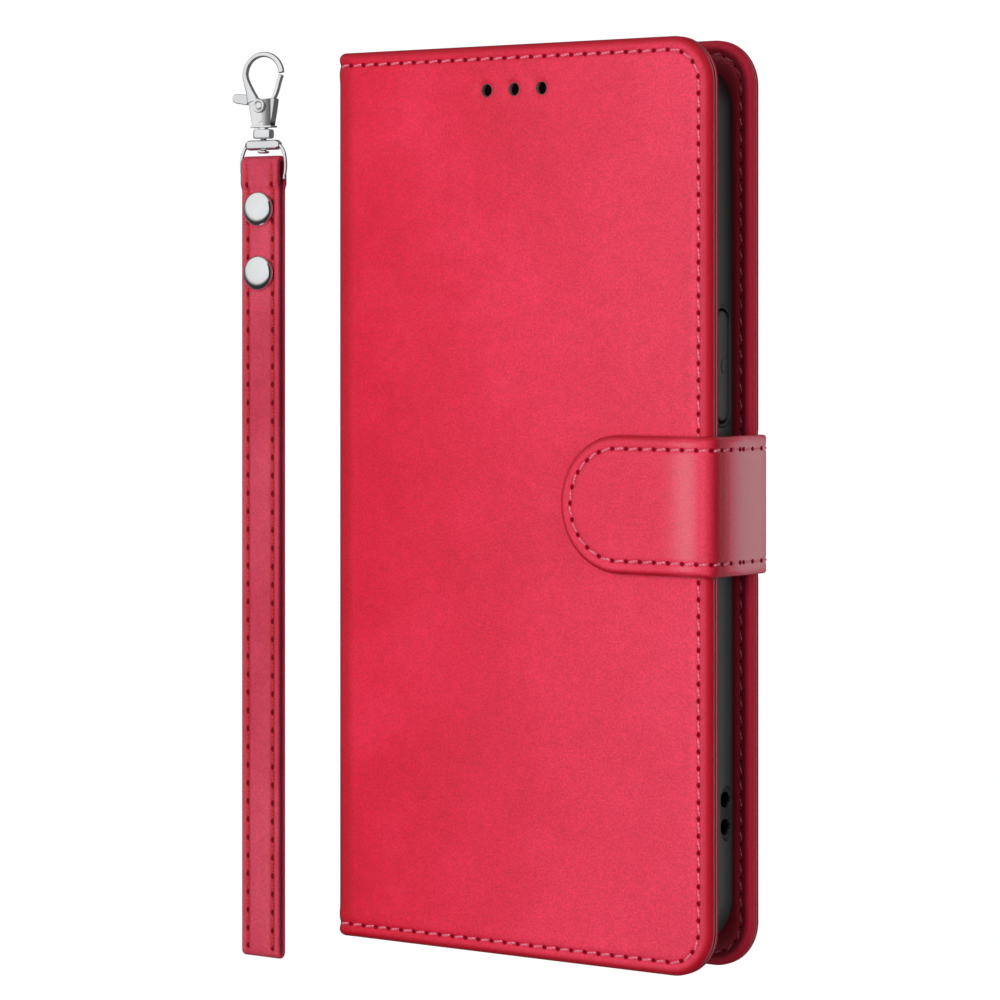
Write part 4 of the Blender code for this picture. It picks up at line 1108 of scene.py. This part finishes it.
def band_top(x):
    """Height of the band across it: rounded edges, less a bell under each stitch row, plus a padded middle
    that falls as a power of the square of the distance."""
    groove = 0.30 * MM * bell(np.abs(x), STRAP_SEAM, 0.55 * MM)
    padding = 0.17 * MM * np.maximum(0, 1 - (x / (2.9 * MM)) ** 2) ** 0.6
    return BAND_FACE - shoulder(HALF_W - np.abs(x), BAND_EDGE) - groove + padding


def band_deep(x):
    """Painted shade in the grooves, and a little at the edges."""
    edge = 0.35 * (1 - smooth_step(HALF_W - np.abs(x), 0.1 * MM, 0.8 * MM))
    return np.clip(np.maximum(bell(np.abs(x), STRAP_SEAM, 0.6 * MM), edge), 0, 1)


def wrist_band():
    """The band: its outside and inside stand off the middle line. Grooves and padding fade at both turns."""
    middle = strap_middle()
    step = np.roll(middle, -1, 0) - np.roll(middle, 1, 0)
    step /= np.linalg.norm(step, axis=1)[:, None]
    line = np.vstack([middle, middle[:1]])
    outs = np.stack([step[:, 1], -step[:, 0]], 1)
    outs = np.vstack([outs, outs[:1]])
    x = HALF_W * np.sin(np.linspace(-1, 1, 61) * np.pi / 2)
    top = band_top(x)
    inside = np.full(len(x), -SKIN / 2)
    inside[[0, -1]] = top[[0, -1]]
    plain_top = BAND_FACE + np.minimum(top - BAND_FACE, 0) * (np.abs(x) > HALF_W - BAND_EDGE)
    at_end = np.maximum(smooth_step(line[:, 0], TOP_TURN - 0.6 * MM, TOP_TURN + 0.3 * MM),
                        1 - smooth_step(line[:, 0], BOTTOM_TURN - 0.3 * MM, BOTTOM_TURN + 0.6 * MM))[:, None]
    outside = top[None] * (1 - at_end) + plain_top[None] * at_end
    grids = []
    for off in (outside, np.broadcast_to(inside, outside.shape)):
        y = line[:, None, 0] + outs[:, None, 0] * off
        z = STRAP_Z + line[:, None, 1] + outs[:, None, 1] * off
        grids.append(np.stack([np.broadcast_to(STRAP_X + x, y.shape), y, z], -1))
    deep = band_deep(x)[None] * (1 - 0.7 * at_end)
    return outward(build("wrist_band", grids, STRAP_RED, [deep, deep]))


def band_place(side):
    """The flat part of the band, on its upper or lower side: p across, y along."""
    def place(p, y):
        p, y = np.broadcast_arrays(p, y)
        spot = np.stack([STRAP_X + p, y, STRAP_Z + side * half_gap(y)], -1)
        return spot, np.broadcast_to([0.0, 0.0, side], spot.shape)
    return place


put([wrist_band()], "wrist_strap", stands=["wrist_strap_loop"])
for side, label in ((1, "top"), (-1, "low")):
    for way, letter in ((-1, "a"), (1, "b")):
        y = np.linspace(L_BOTTOM + 1.0 * MM, L_TOP - 1.2 * MM, 300)
        seam = np.stack([np.full(300, way * STRAP_SEAM), y], 1)
        put(stitches("wrist_thread_%s_%s" % (label, letter), seam, band_place(side), lambda p, y: band_top(p),
                     THREAD_RED, 3.6 * MM, thick=0.26 * MM, long=0.84, slant=3.0, proud=0.03 * MM,
                     hole=0.5 * MM, longer=1.5, look=HOLE_STRAP), "wrist_strap")


def turned(name, profile, centre, axis, count=64):
    """A plated shape turned round an axis through the centre: pairs of radius and place along the axis."""
    angle = np.linspace(0, 2 * np.pi, count + 1)
    profile = np.array(profile, float) * MM
    grid = np.zeros((len(profile), count + 1, 3))
    across, up = [k for k in range(3) if k != axis]
    grid[..., across] = profile[:, 0, None] * np.cos(angle)
    grid[..., up] = profile[:, 0, None] * np.sin(angle)
    grid[..., axis] = profile[:, 1, None]
    return outward(build(name, [grid + np.array(centre)], CHROME))


RIVET_FOOT = [(0.0, 0.0), (2.8, 0.0), (3.1, 0.1), (3.2, 0.25), (3.1, 0.45), (2.8, 0.5), (0.0, 0.5)]
for name in ("upper", "lower"):
    low, high = span("rivet_cap_" + name)
    y = (low[1] + high[1]) / 2
    dome = (high[0] - low[0]) / 2 / MM
    foot = (STRAP_HIGH[2] - (OPEN - CLOSE) - low[2]) / MM
    rim, top = foot + 0.2, (high[2] - low[2]) / MM
    profile = [(0.0, 0.0), (1.2, 0.0), (1.2, foot), (dome - 0.35, foot - 0.05), (dome - 0.08, foot + 0.02),
               (dome, rim)]
    profile += [(dome * math.cos(a), rim + (top - rim) * math.sin(a) ** 0.9)
                for a in np.radians(np.linspace(0, 90, 22)[1:])]
    put([turned("rivet_dome_" + name, profile, (STRAP_X, y, low[2]), 2)], "wrist_strap",
        stands=["rivet_cap_" + name])
    base_z = span("rivet_base_" + name)[0][2]
    put([turned("rivet_foot_" + name, RIVET_FOOT, (STRAP_X, y, base_z), 2)], "wrist_strap",
        stands=["rivet_base_" + name])


# ---- ring and hook: outlines in millimetres, x from the strap's middle --------------------

def sweep(name, path, sizes, around, material=CHROME, square=0.0):
    """A bar along a flat path of x and y in millimetres, with the half sizes across the path and in height.
    Its section is a circle whose sine and cosine are raised to a power, towards a square one."""
    path = np.asarray(path, float) * MM
    sizes = np.broadcast_to(np.asarray(sizes, float), (len(path), 2)) * MM
    ahead = np.vstack([path[1:], 2 * path[-1:] - path[-2:-1]])
    behind = np.vstack([2 * path[:1] - path[1:2], path[:-1]])
    way = ahead - behind
    way /= np.linalg.norm(way, axis=1)[:, None]
    side = np.stack([-way[:, 1], way[:, 0]], 1)
    angle = np.linspace(0, 2 * np.pi, around + 1)
    c, s = (np.sign(wave) * np.abs(wave) ** (1 - 0.6 * square) for wave in (np.cos(angle), np.sin(angle)))
    grid = np.zeros((len(path), around + 1, 3))
    grid[..., :2] = path[:, None] + side[:, None] * (c[None, :, None] * sizes[:, None, :1])
    grid[..., 2] = s[None] * sizes[:, 1:2]
    ends = [np.stack([grid[k], np.broadcast_to(grid[k, :-1].mean(0), grid[k].shape)]) for k in (0, -1)]
    return outward(build(name, [g + np.array([STRAP_X, 0, STRAP_Z]) for g in (grid, *ends)], material))


def spline(points, count):
    """A smooth line through points, evenly spaced: between two points, the cubic whose slope at each is half
    the step between its neighbours."""
    points = np.asarray(points, float)
    ext = np.vstack([2 * points[0] - points[1], points, 2 * points[-1] - points[-2]])
    t = np.linspace(0, 1, 24, endpoint=False)[:, None]
    out = [0.5 * (2 * b + (c - a) * t + (2 * a - 5 * b + 4 * c - d) * t ** 2
                  + (3 * b - a - 3 * c + d) * t ** 3) for a, b, c, d in zip(ext, ext[1:], ext[2:], ext[3:])]
    out = np.vstack([*out, points[-1:]])
    run = np.concatenate([[0], np.cumsum(np.linalg.norm(np.diff(out, axis=0), axis=1))])
    return on_line(np.linspace(0, run[-1], count), run, out)


def plate(name, outline, thick, bevel, material=CHROME):
    """A flat metal piece: an outline, drawn up to its thickness, with rounded edges."""
    flat_points = np.asarray(outline, float)
    n = len(flat_points)
    rows = [np.column_stack([flat_points, np.full(n, way * thick / 2)]) for way in (-1, 1)]
    ids = np.arange(n)
    after = np.roll(ids, -1)
    sides = np.stack([ids, after, after + n, ids + n], -1).tolist()
    points = np.vstack(rows) * MM + np.array([STRAP_X, 0, STRAP_Z])
    thing = outward(piece(name, points, [*sides, ids[::-1].tolist(), (ids + n).tolist()], material))
    rounding = thing.modifiers.new("rounding", "BEVEL")
    rounding.width = bevel * MM
    rounding.segments = 4
    rounding.limit_method = "ANGLE"
    rounding.angle_limit = math.radians(50)
    rounding.harden_normals = True
    return thing


L_END = L_TOP / MM
RING_Y = RING_LOW[1] / MM + 0.4
RING_X = (RING_HIGH[0] - RING_LOW[0]) / 2 / MM - 0.4
half_ring = [(-3.6, L_END + 2.3), (-4.6, L_END + 1.6), (-5.35, L_END + 0.2), (-RING_X, L_END - 1.4),
             (-RING_X + 0.05, RING_Y + 1.6), (-RING_X + 0.35, RING_Y + 0.5), (-RING_X + 1.1, RING_Y)]
ring_line = spline(half_ring + [(-x, y) for x, y in reversed(half_ring)], 120)
ring = sweep("ring_wire", ring_line, (0.36, 0.36), 14, RING_CHROME)
BAR_LOW, BAR_HIGH = L_END + 1.1, L_END + 3.1
bar_x = np.linspace(-4.25, 4.25, 40)
narrow = 1 - 0.45 * smooth_step(np.abs(bar_x), 3.4, 4.25)
bar = sweep("ring_bar", np.stack([bar_x, np.full(40, (BAR_LOW + BAR_HIGH) / 2)], 1),
            np.stack([1.0 * narrow, 1.05 * narrow], 1), 32, RING_CHROME, square=0.55)
put([ring, bar], "ring", stands=["swivel_ring"])

# the hook: a wedge, drawn out into the bow that runs up its left side and over the top
COLLAR = BAR_HIGH + 0.3
BODY = COLLAR + 2.9
EYE = L_END + 11.3
BOW_Y = L_END + 16.0
bow_line = [(-2.6, EYE - 0.6), (-3.35, EYE + 1.4), (-4.15, EYE + 3.2), (-4.62, BOW_Y)]
bow_line += [(4.65 * math.cos(a), BOW_Y + 4.1 * math.sin(a)) for a in np.radians(np.arange(160, 5, -20))]
bow_line += [(4.6, BOW_Y + 0.35)]
share = np.linspace(0, 1, 90)
bow_size = np.stack([np.interp(share, [0, 0.12, 0.25, 0.5, 0.8, 1], [1.5, 0.85, 0.55, 0.5, 0.55, 0.58]),
                     np.interp(share, [0, 0.2, 0.5, 1], [1.0, 0.75, 0.55, 0.55])], 1)
bow = sweep("hook_bow", spline(bow_line, 90), bow_size, 24, square=0.2)
wedge_line = [(-2.3, BODY - 0.7), (-2.95, BODY + 2.3), (-3.45, EYE - 0.3), (-3.62, EYE + 0.5),
              (-3.3, EYE + 0.9), (-2.7, EYE + 0.65), (-2.0, EYE + 0.35), (-1.2, EYE + 0.12), (-0.4, EYE),
              (0.6, EYE - 0.03), (1.8, EYE), (3.0, EYE + 0.03), (3.4, EYE - 0.2), (3.3, EYE - 0.7),
              (2.95, BODY + 2.3), (2.3, BODY - 0.7)]
wedge = plate("hook_wedge", wedge_line, 1.7, 0.3, CHROME_WEDGE)
AXIS = (STRAP_X, 0, STRAP_Z)
neck_line = [(0.0, COLLAR + 0.5), (0.95, COLLAR + 0.5), (0.95, BODY + 0.5), (0, BODY + 0.5)]
neck = turned("hook_neck", neck_line, AXIS, 1, 40)
flange = plate("hook_flange", [(x, BODY + y) for x, y in ((-2.65, -0.75), (2.65, -0.75), (2.65, -0.35),
                                                          (-2.65, -0.35))], 2.1, 0.12)
collar_y = np.linspace(COLLAR, COLLAR + 1.8, 12)
grow = 1 - 0.12 * np.abs(np.linspace(-1, 1, 12)) ** 6
collar_size = np.stack([2.2 * grow, 1.15 * grow], 1)
collar = sweep("hook_collar", np.stack([0 * collar_y, collar_y], 1), collar_size, 40, square=0.75)
put([bow, wedge, neck, flange, collar], "hook", stands=["hook_body"])
post_line = [(0, BAR_LOW - 0.7), (0.9, BAR_LOW - 0.65), (1.15, BAR_LOW - 0.45), (1.15, BAR_LOW - 0.2),
             (0.6, BAR_LOW - 0.18), (0.6, COLLAR + 1.0), (0, COLLAR + 1.0)]
put([turned("swivel_post_head", post_line, AXIS, 1, 32)], "hook", stands=["swivel_post"])

# the gate: an arm, a thumb tab and the pin that both turn on
PIN_LOW, PIN_HIGH = span("gate_rivet")
PIN_X, PIN_Y = (PIN_LOW[:2] + PIN_HIGH[:2]) / 2 / MM - np.array([STRAP_X / MM, 0])
PIN_TOP = (PIN_HIGH[2] - STRAP_Z) / MM
arm_line = [(1.2, 0.2), (2.1, 0.9), (2.9, 1.9), (3.45, 3.0), (4.0, 4.6), (4.55, 6.0)]
arm_size = np.stack([np.interp(np.linspace(0, 1, 40), [0, 0.4, 1], [0.36, 0.42, 0.44]), np.full(40, 0.55)], 1)
arm = sweep("hook_gate_arm", spline([(x, PIN_Y + y) for x, y in arm_line], 40), arm_size, 20, square=0.4)
tab_line = [(-7.7, 1.75), (-7.55, 1.1), (-6.9, 0.75), (-5.0, 0.45), (-3.0, 0.2), (-1.0, -0.6), (0.9, -0.6),
            (1.4, 0.7), (-0.6, 1.2), (-3.2, 2.2), (-5.2, 2.5), (-7.0, 2.6), (-7.55, 2.35)]
tab = plate("hook_gate_tab", [(x, PIN_Y + y) for x, y in tab_line], 1.1, 0.25)
put([arm, tab], "gate", stands=["hook_gate"])
pin_line = [(0.0, -PIN_TOP + 0.1), (1.1, -PIN_TOP + 0.2), (1.15, -1.3), (0.7, -1.2), (0.7, 1.2),
            (1.35, 1.0), (1.35, 1.25), (1.15, 1.4), (0.95, 1.3), (0.9, 1.0), (0.75, 1.0), (0.7, 1.3),
            (0.45, 1.42), (0.0, 1.46)]
pin = turned("gate_pin_head", pin_line, (STRAP_X + PIN_X * MM, PIN_Y * MM, STRAP_Z), 2, 40)
put([pin], "hook", stands=["gate_rivet"])

# nodes of the frame that show as they are
for node, look in (("gate_spring", CHROME), ("cover_magnet", MAGNET), ("cash_pocket_panel", LINING),
                   ("card_pocket_1", LINING), ("card_pocket_2", LINING), ("card_pocket_3", LINING)):
    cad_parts[node].data.materials.clear()
    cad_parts[node].data.materials.append(look)

# ---- stage, light and camera --------------------------------------------------------------

scene = bpy.context.scene
scene.view_settings.view_transform = "Standard"
scene.view_settings.look = "None"
scene.view_settings.exposure = 0.0
scene.view_settings.gamma = 1.0


def sheet(name, x_low, x_high, half_y, z, colour, glow):
    """A plain sheet of the stage, matt and with a glow of its own."""
    m = Paint(name)
    m.set(Base_Color=grey(colour), Roughness=0.9, Specular_IOR_Level=0.0, Emission_Color=grey(1.0),
          Emission_Strength=glow)
    corners = np.array([(x_low, -half_y, z), (x_high, -half_y, z), (x_high, half_y, z), (x_low, half_y, z)])
    thing = piece(name, corners, [(0, 1, 2, 3)], m.material)
    thing.visible_diffuse = False
    thing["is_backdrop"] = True
    return thing


backdrop = sheet("stage_floor", -6.0, 6.0, 6.0, -0.0002, 0.0, 1.02)
backdrop.visible_glossy = False
backdrop.visible_shadow = False
bounce = sheet("stage_bounce", S_OUT + 0.5 * MM, S_OUT + 8.0 * MM, 0.10, -0.0005, 0.6, 1.1)
bounce.visible_camera = False


def dome_of_light():
    """A half sphere that only reflections see. Its glow is a ramp over the product of the direction with one
    that leans to the top: dark towards its foot and bright overhead."""
    m = Paint("stage_dome")
    m.tree.nodes.remove(m.shader)
    lean = (0.0, 0.42, 0.58)
    slope = m.node("VectorMath", {0: m.coords, 1: lean}, operation="DOT_PRODUCT").outputs["Value"]
    tones = ((0.0, 0.03), (0.27, 0.05), (0.36, 0.5), (0.45, 0.9), (0.7, 0.97), (1.0, 1.0))
    tone = m.ramp(m.maths("ADD", slope, 0.22), [(place, grey(value)) for place, value in tones])
    glow = m.node("Emission", {"Color": tone, "Strength": 1.0}).outputs[0]
    m.tree.links.new(glow, m.tree.nodes["Material Output"].inputs["Surface"])
    up = np.linspace(0, np.pi / 2, 25)[:, None]
    around = np.linspace(0, 2 * np.pi, 73)[None]
    grid = np.stack([np.cos(up) * np.cos(around), np.cos(up) * np.sin(around), np.sin(up) + 0 * around], -1)
    thing = build("stage_dome", [grid], m.material)
    thing.visible_camera = False
    thing.visible_diffuse = False
    thing.visible_shadow = False
    thing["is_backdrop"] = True


def lamp(name, place, target, size, power):
    """A square lamp that shines at a target and isn't seen in reflections."""
    light = bpy.data.lights.new(name, "AREA")
    light.shape = "RECTANGLE"
    light.size = light.size_y = size
    light.energy = power
    thing = bpy.data.objects.new(name, light)
    thing.location = place
    thing.rotation_mode = "QUATERNION"
    thing.rotation_quaternion = (Vector(target) - Vector(place)).to_track_quat("-Z", "Y")
    thing.visible_glossy = False
    scene.collection.objects.link(thing)
    thing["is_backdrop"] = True


dome_of_light()
world = bpy.data.worlds.new("studio")
scene.world = world
world.use_nodes = True
world.node_tree.nodes["Background"].inputs["Color"].default_value = grey(1.0)
world.node_tree.nodes["Background"].inputs["Strength"].default_value = 0.14
lamp("key_light", (0.0, 0.10, 0.9), (0, 0, 0), 0.6, 7.4)
lamp("side_light", (0.8, 0.1, 0.35), (0, 0, 0.01), 0.4, 2.2)

CAMERA_TURN = math.radians(36.0)
CAMERA_PLACE = (0.4024, 0.0333, 0.5761)
camera_data = bpy.data.cameras.new("camera")
camera_data.sensor_width = 36.0
camera_data.lens = 134.9
camera_data.shift_y = -0.1805
camera = bpy.data.objects.new("camera", camera_data)
camera.matrix_world = Matrix.Translation(CAMERA_PLACE) @ Matrix.Rotation(CAMERA_TURN, 4, "Y")
scene.collection.objects.link(camera)
scene.camera = camera

low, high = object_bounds()
{"cad": [list(CAD_LOW), list(CAD_HIGH)], "visual": [list(low), list(high)]}
